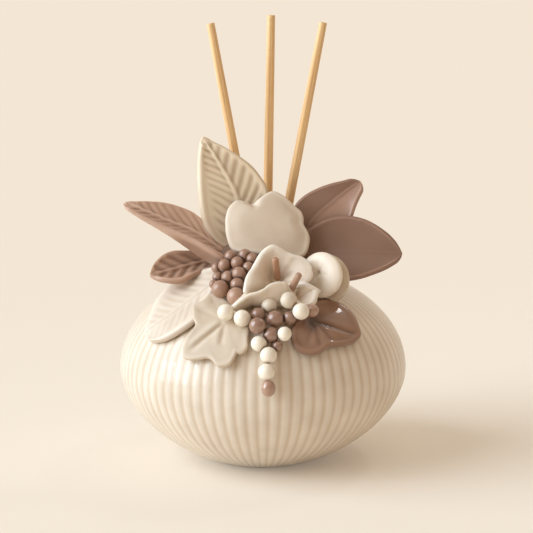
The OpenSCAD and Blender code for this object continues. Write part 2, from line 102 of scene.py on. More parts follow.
# Sizes of the reeds
REED_D = 4.0
REED_TIP_D = 3.4
REED_L = 178.0
REED_STRAIGHT = 95.0
REED_SEAT = 0.3
REED_FLATS = 0.012
REED_WAVER = 0.02


# Vectors and curves

def unit(v):
    v = np.asarray(v, float)
    return v / np.linalg.norm(v)


def smoothstep(x, low, high):
    k = np.clip((np.asarray(x, float) - low) / (high - low), 0, 1)
    return k * k * (3 - 2 * k)


def bell(x, centre, width):
    return np.exp(-((np.asarray(x, float) - centre) / width) ** 2)


def around(steps):
    """Angles of a full turn in equal steps."""
    return np.linspace(0, 2 * math.pi, steps, endpoint=False)


def toward(bearing, rise):
    """Direction at a bearing and a rise over the level."""
    b, e = math.radians(bearing), math.radians(rise)
    return np.array([math.cos(e) * math.sin(b), -math.cos(e) * math.cos(b), math.sin(e)])


def from_pad(place):
    """Point near the pad: bearing, distance outside its side, height over its top."""
    b = math.radians(place[0])
    r = PAD_R + place[1]
    return np.array([r * math.sin(b), -r * math.cos(b), PAD_TOP + place[2]])


def drape(start, east, north, height):
    """Points at a height over the pot's shoulder, moved east and north from a bearing and profile angle."""
    angle = np.radians(start[1]) + np.asarray(north) / MERIDIAN_R
    bearing = np.radians(start[0]) + np.asarray(east) / (POT_R * np.cos(angle))
    n = np.stack([np.cos(angle) / POT_R, np.sin(angle) / UPPER_B], -1)
    n = n / np.linalg.norm(n, axis=-1, keepdims=True)
    r = POT_R * np.cos(angle) + height * n[..., 0]
    z = BELLY_Z + UPPER_B * np.sin(angle) + height * n[..., 1]
    return np.stack([r * np.sin(bearing), -r * np.cos(bearing), z], -1)


def spline(rows, x, period=None):
    """Smooth curve through rows that each start with their place, as an array of the rows' other values."""
    rows = np.asarray(rows, float)
    if period:
        step = period * np.eye(1, rows.shape[1])
        rows = np.concatenate([rows[-3:] - step, rows, rows[:3] + step])
    knots, values = rows[:, 0], rows[:, 1:]
    slope = np.gradient(values, knots, axis=0)
    x = np.clip(x, knots[0], knots[-1])
    i = np.clip(np.searchsorted(knots, x, side="right") - 1, 0, len(knots) - 2)
    gap = (knots[i + 1] - knots[i])[..., None]
    k = (x - knots[i])[..., None] / gap
    start = values[i] * (1 + 2 * k) * (1 - k) ** 2 + slope[i] * gap * k * (1 - k) ** 2
    end = values[i + 1] * k * k * (3 - 2 * k) + slope[i + 1] * gap * k * k * (k - 1)
    return start + end


def axes_at(ahead, face):
    """Rows are the local X, Y and Z directions, with +X ahead and +Z towards the face direction."""
    x = unit(ahead)
    face = np.asarray(face, float)
    z = unit(face - (face @ x) * x)
    return np.stack([x, np.cross(z, x), z])


# Meshes: a shape is a triple of points in millimetres, faces, and relief from -1 in grooves to 1 on crests,
# which the clays turn into painted shade and painted highlight

BALL_STEPS = 28
BAR_STEPS = 20


def grid_shape(points, wrap, relief=None):
    """Shape from rows and columns of points; wrap closes each row into a ring."""
    rows, columns = points.shape[:2]
    last = columns if wrap else columns - 1
    i, j = np.meshgrid(np.arange(rows - 1), np.arange(last), indexing="ij")
    k = (j + 1) % columns
    quads = np.stack([i * columns + j, i * columns + k, (i + 1) * columns + k, (i + 1) * columns + j], -1)
    relief = np.zeros((rows, columns)) if relief is None else relief
    return points.reshape(-1, 3), quads.reshape(-1, 4), relief.ravel()


def joined(shapes):
    """One shape from several."""
    points, faces, relief = zip(*shapes)
    first = np.cumsum([0] + [len(part) for part in points])
    moved = [part + start for part, start in zip(faces, first)]
    return np.concatenate(points), np.concatenate(moved), np.concatenate(relief)


def normals_of(middle, wrap):
    """Unit normals of a grid of points, taken from its rows and columns."""
    along = np.gradient(middle, axis=0)
    if wrap:
        across = (np.roll(middle, -1, 1) - np.roll(middle, 1, 1)) / 2
    else:
        across = np.gradient(middle, axis=1)
    normal = np.cross(along, across)
    size = np.linalg.norm(normal, axis=-1, keepdims=True)
    normal = normal / np.maximum(size, 1e-12)
    for end, near in ((0, 1), (-1, -2)):
        flat = size[end, :, 0] < 1e-9
        normal[end, flat] = unit(normal[near].sum(0)) if flat.all() else normal[near, flat]
    return normal


def sheet_shape(middle, half, rise, face, wrap=False, painted_shading=0.0, under=None):
    """Closed sheet around middle points, with a half thickness and a rise on the side that looks along face.

    The painted shading darkens that side as painted shade, and lightens it as painted light where it is below
    0; under is the relief of the other side.
    """
    normal = normals_of(middle, wrap)
    if (normal.reshape(-1, 3) @ face).sum() < 0:
        normal = -normal
    upper = middle + normal * (half + rise)[..., None]
    lower = middle - normal * half[..., None]
    # Painted shade in pressed parts and painted highlight on raised parts, less the painted shading
    relief = np.clip(rise / RELIEF_SCALE - painted_shading, -1, 1)
    return joined([grid_shape(upper, wrap, relief), grid_shape(lower, wrap, under)])


def ball_shape(centre, radii, turn):
    """Hand-rolled ball: slightly uneven, with its poles up and down."""
    theta = np.linspace(0, math.pi, BALL_STEPS // 2 + 1)[:, None]
    phi = around(BALL_STEPS)[None, :]
    uneven = 1 + 0.012 * np.sin(2 * theta + turn) * np.cos(phi + 2 * turn) + 0.008 * np.cos(3 * phi + turn)
    uneven = 1 + (uneven - 1) * np.sin(theta)
    flat = np.stack([np.sin(theta) * np.cos(phi), np.sin(theta) * np.sin(phi), np.cos(theta) + 0 * phi], -1)
    return grid_shape(np.asarray(centre) + flat * np.asarray(radii) * uneven[..., None], True)


def rod_shape(start, end, radii):
    """Round bar with softly rounded ends; radii at the start and the end."""
    start, end = np.asarray(start, float), np.asarray(end, float)
    way = unit(end - start)
    side = unit(np.cross(way, [0.3, 0.9, 0.2]))
    other = np.cross(way, side)
    length = np.linalg.norm(end - start)
    soft = min(radii) * 0.5
    corner = [(0, soft), (0.3 * soft, 0.3 * soft), (soft, 0)]
    rows = [(0, 0)] + [(x, radii[0] - less) for x, less in corner]
    rows += [(length - x, radii[1] - less) for x, less in reversed(corner)] + [(length, 0)]
    angle = around(BAR_STEPS)
    ring = np.cos(angle)[:, None] * side + np.sin(angle)[:, None] * other
    return grid_shape(np.stack([start + x * way + r * ring for x, r in rows]), True)


def stem_shape(root, hold):
    """Stem from a root to its place in the pad."""
    return rod_shape(root, from_pad(hold), (STEM_D / 2, STEM_D / 2))


def lathe_shape(profile, angles, cut, relief=None):
    """Surface turned round the Z axis from a profile of radius and height, less a cut at each point."""
    r = profile[:, 0][:, None] - cut
    bearing = angles[None, :]
    z = profile[:, 1][:, None] + 0 * bearing
    return grid_shape(np.stack([r * np.sin(bearing), -r * np.cos(bearing), z], -1), True, relief)


def linked(name, data):
    """New object with the data, in the scene."""
    obj = bpy.data.objects.new(name, data)
    bpy.context.scene.collection.objects.link(obj)
    return obj


def piece(name, shape, material, body, nodes):
    """Object with the shape's mesh, riding on a body and standing for the named solids."""
    points, faces, relief = shape
    mesh = bpy.data.meshes.new(name)
    mesh.from_pydata((points * MM).tolist(), [], faces.tolist())
    layer = mesh.attributes.new("relief", "FLOAT", "POINT")
    layer.data.foreach_set("value", relief.astype(np.float32))
    bm = bmesh.new()
    bm.from_mesh(mesh)
    bmesh.ops.remove_doubles(bm, verts=bm.verts, dist=2e-7)
    bmesh.ops.dissolve_degenerate(bm, edges=bm.edges, dist=1e-8)
    bmesh.ops.recalc_face_normals(bm, faces=bm.faces)
    for face in bm.faces:
        face.smooth = True
    bm.to_mesh(mesh)
    bm.free()
    mesh.materials.append(material)
    obj = linked(name, mesh)
    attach(obj, body)
    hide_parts(*nodes)
    return obj


def clay_piece(node, shape, material):
    """Piece of the spray, which rides on the lid and stands for one solid."""
    piece(node + "_clay", shape, material, "lid", [node])


# Materials

def srgb(r, g, b):
    """Linear colour from the 0 to 255 values seen on a screen."""
    def linear(v):
        v = v / 255
        return v / 12.92 if v <= 0.04045 else ((v + 0.055) / 1.055) ** 2.4
    return (linear(r), linear(g), linear(b), 1.0)


def new_material(name):
    material = bpy.data.materials.new(name)
    material.use_nodes = True
    tree = material.node_tree
    return material, tree, tree.nodes["Principled BSDF"]


def set_inputs(node, **values):
    """Input sockets of a node set by name, with _ for a space."""
    for key, value in values.items():
        node.inputs[key.replace("_", " ")].default_value = value


def add(tree, kind, **values):
    """New node with its properties or input sockets set by name."""
    node = tree.nodes.new(kind)
    for key, value in values.items():
        if hasattr(node, key):
            setattr(node, key, value)
        else:
            set_inputs(node, **{key: value})
    return node


def link(source, target):
    """Wire from an output socket to an input socket."""
    source.id_data.links.new(source, target)


def noise(tree, scale, detail, stretch=(1, 1, 1)):
    coords = add(tree, "ShaderNodeTexCoord")
    mapping = add(tree, "ShaderNodeMapping", Scale=stretch)
    texture = add(tree, "ShaderNodeTexNoise", Scale=scale, Detail=detail)
    link(coords.outputs["Object"], mapping.inputs["Vector"])
    link(mapping.outputs["Vector"], texture.inputs["Vector"])
    return texture.outputs["Fac"]


def ramp(tree, source, stops):
    """Colour of a source between stops, each a place and a colour as seen on a screen."""
    node = add(tree, "ShaderNodeValToRGB")
    elements = node.color_ramp.elements
    while len(elements) < len(stops):
        elements.new(0.5)
    for element, (place, colour) in zip(elements, stops):
        element.position = place
        element.color = srgb(*colour)
    link(source, node.inputs["Fac"])
    return node.outputs["Color"]


def multiplied(tree, factor, a, b):
    """Colour a, darkened by colour b as far as the factor says."""
    node = add(tree, "ShaderNodeMix", data_type="RGBA", blend_type="MULTIPLY")
    node.inputs[0].default_value = factor
    link(a, node.inputs[6])
    link(b, node.inputs[7])
    return node.outputs[2]


def ranged(tree, source, low, high, to_low, to_high):
    node = add(tree, "ShaderNodeMapRange", From_Min=low, From_Max=high, To_Min=to_low, To_Max=to_high)
    link(source, node.inputs["Value"])
    return node.outputs["Result"]


def bump(tree, shader, layers):
    """Bump layers of height source, strength and distance, one on top of the other."""
    normal = None
    for source, strength, distance in layers:
        node = add(tree, "ShaderNodeBump", Strength=strength, Distance=distance)
        link(source, node.inputs["Height"])
        if normal is not None:
            link(normal, node.inputs["Normal"])
        normal = node.outputs["Normal"]
    link(normal, shader.inputs["Normal"])


def clay(name, tones, rough, coat, lumps, coat_rough=0.16, scatter=0.1, shine=0.5, coat_ior=1.5):
    """Satin clay with tones for its grooves, flats and crests, which paint shade into the grooves and a
    highlight onto the crests, faintly mottled, with a hand-smoothed skin.
    """
    material, tree, shader = new_material(name)
    attribute = add(tree, "ShaderNodeAttribute", attribute_name="relief")
    height = ranged(tree, attribute.outputs["Fac"], -1, 1, 0, 1)
    body = ramp(tree, height, list(zip((0.0, 0.5, 1.0), tones)))
    cloud = noise(tree, 90, 3)
    shade = ramp(tree, cloud, [(0.3, (232, 228, 224)), (0.7, (255, 255, 255))])
    link(multiplied(tree, 0.55, body, shade), shader.inputs["Base Color"])
    link(ranged(tree, cloud, 0.3, 0.7, rough - 0.02, rough + 0.03), shader.inputs["Roughness"])
    bump(tree, shader, [(cloud, 0.25, lumps * MM), (noise(tree, 1400, 3), 0.1, 0.12 * lumps * MM)])
    set_inputs(
        shader, Specular_IOR_Level=shine, Subsurface_Weight=scatter, Subsurface_Radius=(1.0, 0.62, 0.36),
        Subsurface_Scale=0.0016, Coat_Weight=coat, Coat_Roughness=coat_rough, Coat_IOR=coat_ior,
    )
    return material


def wood(name):
    """Pale reed with long fibres along its length and a few darker pores."""
    material, tree, shader = new_material(name)
    fibre = noise(tree, 700, 6, (1, 1, 0.025))
    pores = noise(tree, 1500, 3, (1, 1, 0.012))
    body = ramp(tree, fibre, [(0.25, (206, 160, 104)), (0.5, (233, 193, 138)), (0.75, (245, 216, 168))])
    dark = ramp(tree, pores, [(0.3, (196, 160, 118)), (0.42, (255, 255, 255))])
    link(multiplied(tree, 0.6, body, dark), shader.inputs["Base Color"])
    link(ranged(tree, fibre, 0.3, 0.7, 0.62, 0.5), shader.inputs["Roughness"])
    bump(tree, shader, [(fibre, 0.3, 0.0002), (pores, 0.35, 0.0001)])
    return material


def rubber(name):
    """Matte pale rubber with a fine grain."""
    material, tree, shader = new_material(name)
    grain = noise(tree, 900, 4)
    tone = ramp(tree, grain, [(0.3, (196, 190, 176)), (0.7, (212, 206, 194))])
    link(tone, shader.inputs["Base Color"])
    link(ranged(tree, grain, 0.3, 0.7, 0.6, 0.75), shader.inputs["Roughness"])
    bump(tree, shader, [(grain, 0.2, 0.0001)])
    return material


def brass(name):
    """Dull metal with faint lines along the wire."""
    material, tree, shader = new_material(name)
    drawn = noise(tree, 1200, 4, (1, 1, 0.1))
    tone = ramp(tree, drawn, [(0.3, (128, 104, 76)), (0.7, (160, 134, 100))])
    link(tone, shader.inputs["Base Color"])
    link(ranged(tree, drawn, 0.3, 0.7, 0.5, 0.6), shader.inputs["Roughness"])
    set_inputs(shader, Metallic=1.0)
    bump(tree, shader, [(drawn, 0.2, 0.00005)])
    return material


CREAM = clay("cream_clay", [(190, 169, 144), (212, 195, 173), (232, 219, 200)], 0.48, 0.06, 0.4)
TALL_CREAM = clay("tall_cream", [(196, 173, 144), (228, 209, 180), (243, 227, 202)], 0.48, 0.06, 0.4)
PETAL_CREAM = clay("petal_cream", [(192, 171, 146), (217, 199, 178), (238, 226, 208)], 0.46, 0.08, 0.4)
# Paler than the cream clay, partly its own tone and partly painted light on the lilies' shaded insides
LILY_CREAM = clay("lily_cream", [(214, 195, 171), (242, 229, 211), (250, 242, 229)], 0.42, 0.15, 0.3)
PALE_CREAM = clay("pale_cream_clay", [(208, 190, 168), (227, 213, 196), (238, 227, 211)], 0.42, 0.12, 0.3)
# Its groove tone is painted shade between touching beads and on two shaded beads
BEAD_CREAM = clay("bead_cream", [(178, 154, 127), (250, 241, 224), (252, 245, 230)], 0.44, 0.06, 0.3)
BROWN = clay("brown_clay", [(128, 98, 82), (152, 119, 101), (182, 147, 127)], 0.44, 0.1, 0.4)
WARM_BROWN = clay("warm_brown_clay", [(148, 116, 96), (183, 148, 125), (208, 172, 149)], 0.44, 0.1, 0.4)
# Paler brown, partly its own tone and partly painted light on a leaf face that the lamps leave dim
LIGHT_BROWN = clay("light_brown_clay", [(166, 133, 113), (214, 180, 159), (242, 214, 196)], 0.4, 0.28, 0.4)
# Its groove tone is painted shade between touching berries
BERRY_BROWN = clay(
    "berry_brown", [(98, 72, 58), (170, 133, 111), (206, 168, 143)], 0.38, 0.4, 0.4,
    coat_rough=0.09, coat_ior=1.7,
)
# Its groove tone is painted shade between touching beads
BEAD_BROWN = clay(
    "bead_brown", [(72, 49, 38), (160, 124, 104), (182, 144, 122)], 0.34, 0.6, 0.2,
    coat_rough=0.06, coat_ior=1.9,
)
LEAF_GLOSS = clay(
    "glossy_brown_clay", [(98, 71, 55), (145, 111, 90), (170, 134, 111)], 0.4, 0.35, 0.3, coat_rough=0.05
)
# Its groove tone is pooled glaze and painted shade, its crest tone a painted highlight
GLAZE = clay(
    "pot_glaze", [(215, 196, 172), (233, 220, 203), (236, 225, 210)], 0.36, 0.6, 0.05,
    coat_rough=0.06, scatter=0, shine=0.1,
)
SPADIX_BROWN = clay("spadix_brown", [(140, 100, 76), (180, 138, 110), (196, 152, 124)], 0.5, 0.05, 0.5)
# Dark brown, so that the pad and the stopper read as painted shade where they show between the flowers
PAD_SHADE_CLAY = clay("pad_shade_clay", [(112, 86, 70), (140, 112, 94), (164, 132, 112)], 0.55, 0, 0.6)
WOOD = wood("reed_wood")
RUBBER = rubber("gasket_rubber")
BRASS = brass("strand_brass")


# Pot

def arc_rows(centre, radius, first, last, steps):
    angle = np.radians(np.linspace(first, last, steps))
    return np.stack([centre[0] + radius * np.cos(angle), centre[1] + radius * np.sin(angle)], -1)


def oval_rows(radius, height, angles, power=1.0):
    """Profile rows on an oval from the belly up, or down with a height below 0; the power shapes it."""
    r = radius * np.cos(angles) ** power
    return np.stack([r, BELLY_Z + height * np.abs(np.sin(angles)) ** power], -1)


def pot_shape():
    """Closed pot: foot, ribbed outside, rim, mouth and hollow, as one turned surface."""
    power = 2 / LOWER_ROUND
    foot_angle = math.acos((FOOT_R / POT_R) ** (LOWER_ROUND / 2))
    rim_angle = math.acos(RIM_R / POT_R)
    low = np.linspace(-foot_angle, 0, 90)[1:-1]
    high = np.linspace(0, rim_angle, 70)[:-1]
    lower = oval_rows(POT_R, -LOWER_B, low, power)
    upper = oval_rows(POT_R, UPPER_B, high)
    foot_in = FOOT_R - FOOT_RING
    foot = np.concatenate([
        [(0, FOOT_HOLLOW), (foot_in - 0.6, FOOT_HOLLOW), (foot_in, FOOT_HOLLOW - 0.5), (foot_in + 0.5, 0)],
        arc_rows((FOOT_R - EDGE_ROUND, EDGE_ROUND), EDGE_ROUND, -90, -35, 4),
    ])
    rim = np.concatenate([
        arc_rows((RIM_R - EDGE_ROUND, POT_H - EDGE_ROUND), EDGE_ROUND, 30, 90, 5),
        arc_rows((MOUTH_R + 0.5, POT_H - 0.5), 0.5, 90, 180, 4),
    ])
    hollow_r = POT_R - WALL
    hollow_up = (POT_H - MOUTH_L - BELLY_Z) / math.sqrt(1 - (MOUTH_R / hollow_r) ** 2)
    hollow_down = LOWER_B - WALL
    mouth_angle = math.acos(MOUTH_R / hollow_r)
    floor_angle = math.asin(((BELLY_Z - FLOOR_T) / hollow_down) ** (LOWER_ROUND / 2))
    inner_high = np.linspace(mouth_angle, 0, 14)
    inner_low = np.linspace(0, floor_angle, 14)[1:]
    hollow = np.concatenate([
        oval_rows(hollow_r, hollow_up, inner_high),
        oval_rows(hollow_r, -hollow_down, inner_low, power),
        [(0, FLOOR_T)],
    ])
    profile = np.concatenate([foot, lower, upper, rim, hollow])
    ribbed = np.zeros(len(profile))
    ribbed[len(foot):len(foot) + len(lower) + len(upper)] = 1
    ribbed *= smoothstep(profile[:, 1], 0.2, 3) * (1 - smoothstep(profile[:, 1], POT_H - 2, POT_H - 0.2))
    angles = around(RIB_N * 10)
    groove = np.abs(np.sin(RIB_N * angles / 2)) ** GROOVE_POWER
    cut = ribbed[:, None] * RIB_DEPTH * (profile[:, 0] / POT_R)[:, None] * groove[None, :]
    # Painted highlight on the crests, pooled glaze and painted shade in the grooves
    relief = ribbed[:, None] * (CREST_HIGHLIGHT + (GROOVE_POOLING_AND_SHADE - CREST_HIGHLIGHT) * groove)[None, :]
    return lathe_shape(profile, angles, cut, relief)


piece("ribbed_pot", pot_shape(), GLAZE, "pot", ["pot"])


# Reeds

REEDS = {
    "reed_left": (-2.4, 4.5, -10.5, 3.5),
    "reed_centre": (1.5, 14.5, 1.0, 1.0),
    "reed_right": (5.4, 10.0, 10.6, 2.5),
}


def reed_frame(place):
    """Foot point and direction of a reed from its place at the rim and its lean to the right and the back."""
    way = unit([math.tan(math.radians(place[2])), math.tan(math.radians(place[3])), 1])
    end_z = FLOOR_T + REED_SEAT + REED_D / 2 * math.hypot(way[0], way[1])
    foot = np.array([place[0], place[1], POT_H]) + (end_z - POT_H) / way[2] * way
    return foot, way


def reed_shape(turn):
    """Reed along +Z: straight, then slimmer towards its upper end, with a cut end and faint flats."""
    z = np.concatenate([[0, 0, 0.25], np.linspace(2, REED_L - 1, 60), [REED_L - 0.25, REED_L, REED_L]])
    taper = np.clip((z - REED_STRAIGHT) / (REED_L - REED_STRAIGHT), 0, 1)
    r = REED_D / 2 + (REED_TIP_D - REED_D) / 2 * taper
    r[[0, -1]] = 0
    r[[1, -2]] -= 0.25
    angles = around(40)
    bearing, height = angles[None, :], z[:, None]
    uneven = REED_FLATS * np.cos(5 * bearing + turn + 0.01 * height)
    uneven = uneven + REED_WAVER * np.sin(0.13 * height + turn)
    return lathe_shape(np.stack([r, z], -1), angles, np.abs(uneven) * (r > 0)[:, None])


for number, (name, place) in enumerate(REEDS.items()):
    foot, way = reed_frame(place)
    reed = piece(name + "_wood", reed_shape(1.7 * number), WOOD, name, [name])
    rows = axes_at(way, [0, -1, 0])
    turn = Matrix(np.stack([rows[1], rows[2], rows[0]]).T.tolist()).to_4x4()
    reed.matrix_world = Matrix.Translation(Vector(foot * MM)) @ turn


# Leaves and petals

# Range that ends before a flat blade begins, for a cup or a rim that goes all along it
ALL_ALONG = (-20, -10)
# Distances from an edge and from an end over which a relief comes up
EDGE_FADE = 0.8
END_FADE = (0.3, 3.5)


def edge_half(distance, thickness):
    """Half thickness that rounds off towards an edge at a distance."""
    k = np.clip(distance / (0.55 * thickness), 0, 1)
    return thickness / 2 * np.sqrt(1 - (1 - k) ** 2)


def inside(edge):
    """Share of a relief that is left at a distance from an edge."""
    return np.clip(edge / EDGE_FADE, 0, 1)


def outward(middle):
    """Direction from the middle of the pot to a sheet that lies on it."""
    return unit(middle.reshape(-1, 3).mean(0) - np.array([0, 0, BELLY_Z]))


def vein_rise(along, across, width, vein):
    """Side veins pressed into a blade on both sides of its midrib, and the midrib itself."""
    left = across > 0
    slant = np.where(left, *vein["slant"])
    reach = np.where(left, *vein["reach"])
    spacing = np.where(left, *vein["spacing"])
    off = np.abs(across)
    wave = np.cos(math.pi * (along - off * slant) / spacing) ** 2
    share = off / np.maximum(width, 0.1)
    fade = smoothstep(share, 0.02, 0.1) * (1 - smoothstep(share, reach - 0.12, reach + 0.08))
    ridge = vein["rib"] * (bell(off, 0, 0.7) - 0.9 * bell(off, 1.3, 0.7))
    pressed = vein["depth"] * wave ** vein["crisp"] * fade * smoothstep(width, 1.5, 4)
    return ridge * smoothstep(width, 0.8, 3) - pressed


def blade_grid(rows, steps, tip):
    """Places along a blade and across it from its minus to its plus edge; its ends close over the tip."""
    s = 0.5 - 0.5 * np.cos(np.linspace(0, math.pi, steps[0]))
    along = rows[0][0] + (rows[-1][0] - rows[0][0]) * s
    t = np.sin(np.linspace(-1, 1, steps[1]) * math.pi / 2)
    edges = spline(rows, along)
    plus, minus = edges[:, 0], edges[:, 1]
    to_end = np.clip(np.minimum(along - along[0], along[-1] - along) / tip, 0, 1)
    closing = np.sqrt(1 - (1 - to_end) ** 2)
    centre, half = (plus + minus) / 2, (plus - minus) / 2 * closing
    return s[:, None], along[:, None], t[None, :], (centre + half)[:, None], (centre - half)[:, None]


def blade_shape(leaf):
    """Leaf blade in its own frame: outline rows of along, plus edge and minus edge."""
    s, along, t, plus, minus = blade_grid(leaf["rows"], (100, 65), leaf["tip"])
    side = minus + (plus - minus) * (t + 1) / 2
    spine = spline(leaf["spine"], along[:, 0])
    offset = side - spine
    width = np.where(offset > 0, plus - spine, spine - minus)
    share = np.clip(np.abs(offset) / np.maximum(width, 0.1), 0, 1)
    cup = np.where(offset > 0, *leaf["cup"]) * smoothstep(along, *leaf.get("cup_over", ALL_ALONG))
    lift = 4 * s * (1 - s) * leaf["bow"] + cup * share ** 2 * smoothstep(width, 0, 8)
    edge = np.minimum(plus - side, side - minus)
    rise = vein_rise(along, offset, width, leaf["vein"]) if "vein" in leaf else np.zeros_like(side)
    rim_height, rim_place, rim_width = leaf["rim"]
    rim_height = np.where(offset > 0, *rim_height) * smoothstep(along, *leaf.get("rim_over", ALL_ALONG))
    rise = rise + rim_height * bell(edge, rim_place, rim_width) * smoothstep(width, 1, 4)
    fold = bell(offset, 0, 0.5) - 0.6 * bell(offset, 0.9, 0.8) - 0.6 * bell(offset, -0.9, 0.8)
    rise = rise + leaf.get("fold", 0) * fold * smoothstep(width, 1, 5)
    middle = np.stack([along + 0 * t, side, lift], -1)
    near_end = np.minimum(along - along[0], along[-1] - along)
    rise = rise * inside(edge) * smoothstep(near_end, *END_FADE)
    # Painted shading on each half: above 0 it darkens the half as painted shade, below 0 it lightens it as
    # painted light
    plus_painted_shading, minus_painted_shading = leaf.get("painted_shading", (0, 0))
    painted_shading = plus_painted_shading + (minus_painted_shading - plus_painted_shading) * smoothstep(-offset, -1.5, 1.5)
    return middle, edge_half(edge, LEAF_T), rise, painted_shading


def boat_shape(leaf):
    """Blade whose near edge stands up as a smooth wall: rows of along, fold, far edge and wall height.

    The wall's outer side is painted darker as shade: a little at its lip, more below, where it is high.
    """
    s, along, t, fold, far = blade_grid(leaf["rows"], (100, 81), leaf["tip"])
    wall = spline([(row[0], row[3]) for row in leaf["rows"]], along[:, 0])
    wall = wall * np.clip((along[-1] - along) / leaf["tip"], 0, 1)
    bend = np.minimum(leaf["bend"], 0.6 * np.maximum(wall, 0.05))
    flat = np.maximum(fold - bend - far, 0.01)
    turn = math.radians(leaf["turn"])
    full = flat + bend * turn + np.maximum(wall - bend, 0)
    reach = full * (t + 1) / 2
    angle = np.clip((reach - flat) / bend, 0, turn)
    past = np.maximum(reach - flat - bend * turn, 0)
    side = far + np.minimum(reach, flat) + bend * np.sin(angle) + past * math.cos(turn)
    lift = bend * (1 - np.cos(angle)) + past * math.sin(turn)
    share = np.clip(1 - reach / flat, 0, 1)
    lift = lift + leaf["cup"][1] * share ** 2 * smoothstep(flat, 0, 8) + 4 * s * (1 - s) * leaf["bow"]
    spine = spline(leaf["spine"], along[:, 0])
    rise = vein_rise(along, side - spine, np.where(side > spine, fold - spine, spine - far), leaf["vein"])
    edge = np.minimum(reach, full - reach)
    rise = (rise + leaf["raised"]) * (1 - smoothstep(angle, 0.3, 0.8))
    rise = rise * inside(edge) * smoothstep(along[-1] - along, *END_FADE)
    # Painted shade in the hollow of the wall's outer side
    hollow = smoothstep(full - reach, 1.2, 3.6) * smoothstep(wall, 5, 8.5)
    lip_shade, low_shade = leaf["wall_shades"]
    middle = np.stack([along + 0 * t, side, lift], -1)
    return middle, edge_half(edge, LEAF_T), rise, 0.0, lip_shade + (low_shade - lip_shade) * hollow


def on_stem(leaf, wrap, middle, half, rise, painted_shading, under=None):
    """Sheet from a leaf's own frame, set at its root, and the stem that ends in the pad."""
    axes = axes_at(toward(*leaf["aim"]), toward(*leaf["face"]))
    origin = from_pad(leaf["root"])
    sheet = sheet_shape(origin + middle @ axes, half, rise, axes[2], wrap, painted_shading, under)
    return joined([sheet, stem_shape(origin + STEM_LAP * axes[0], leaf["hold"])])


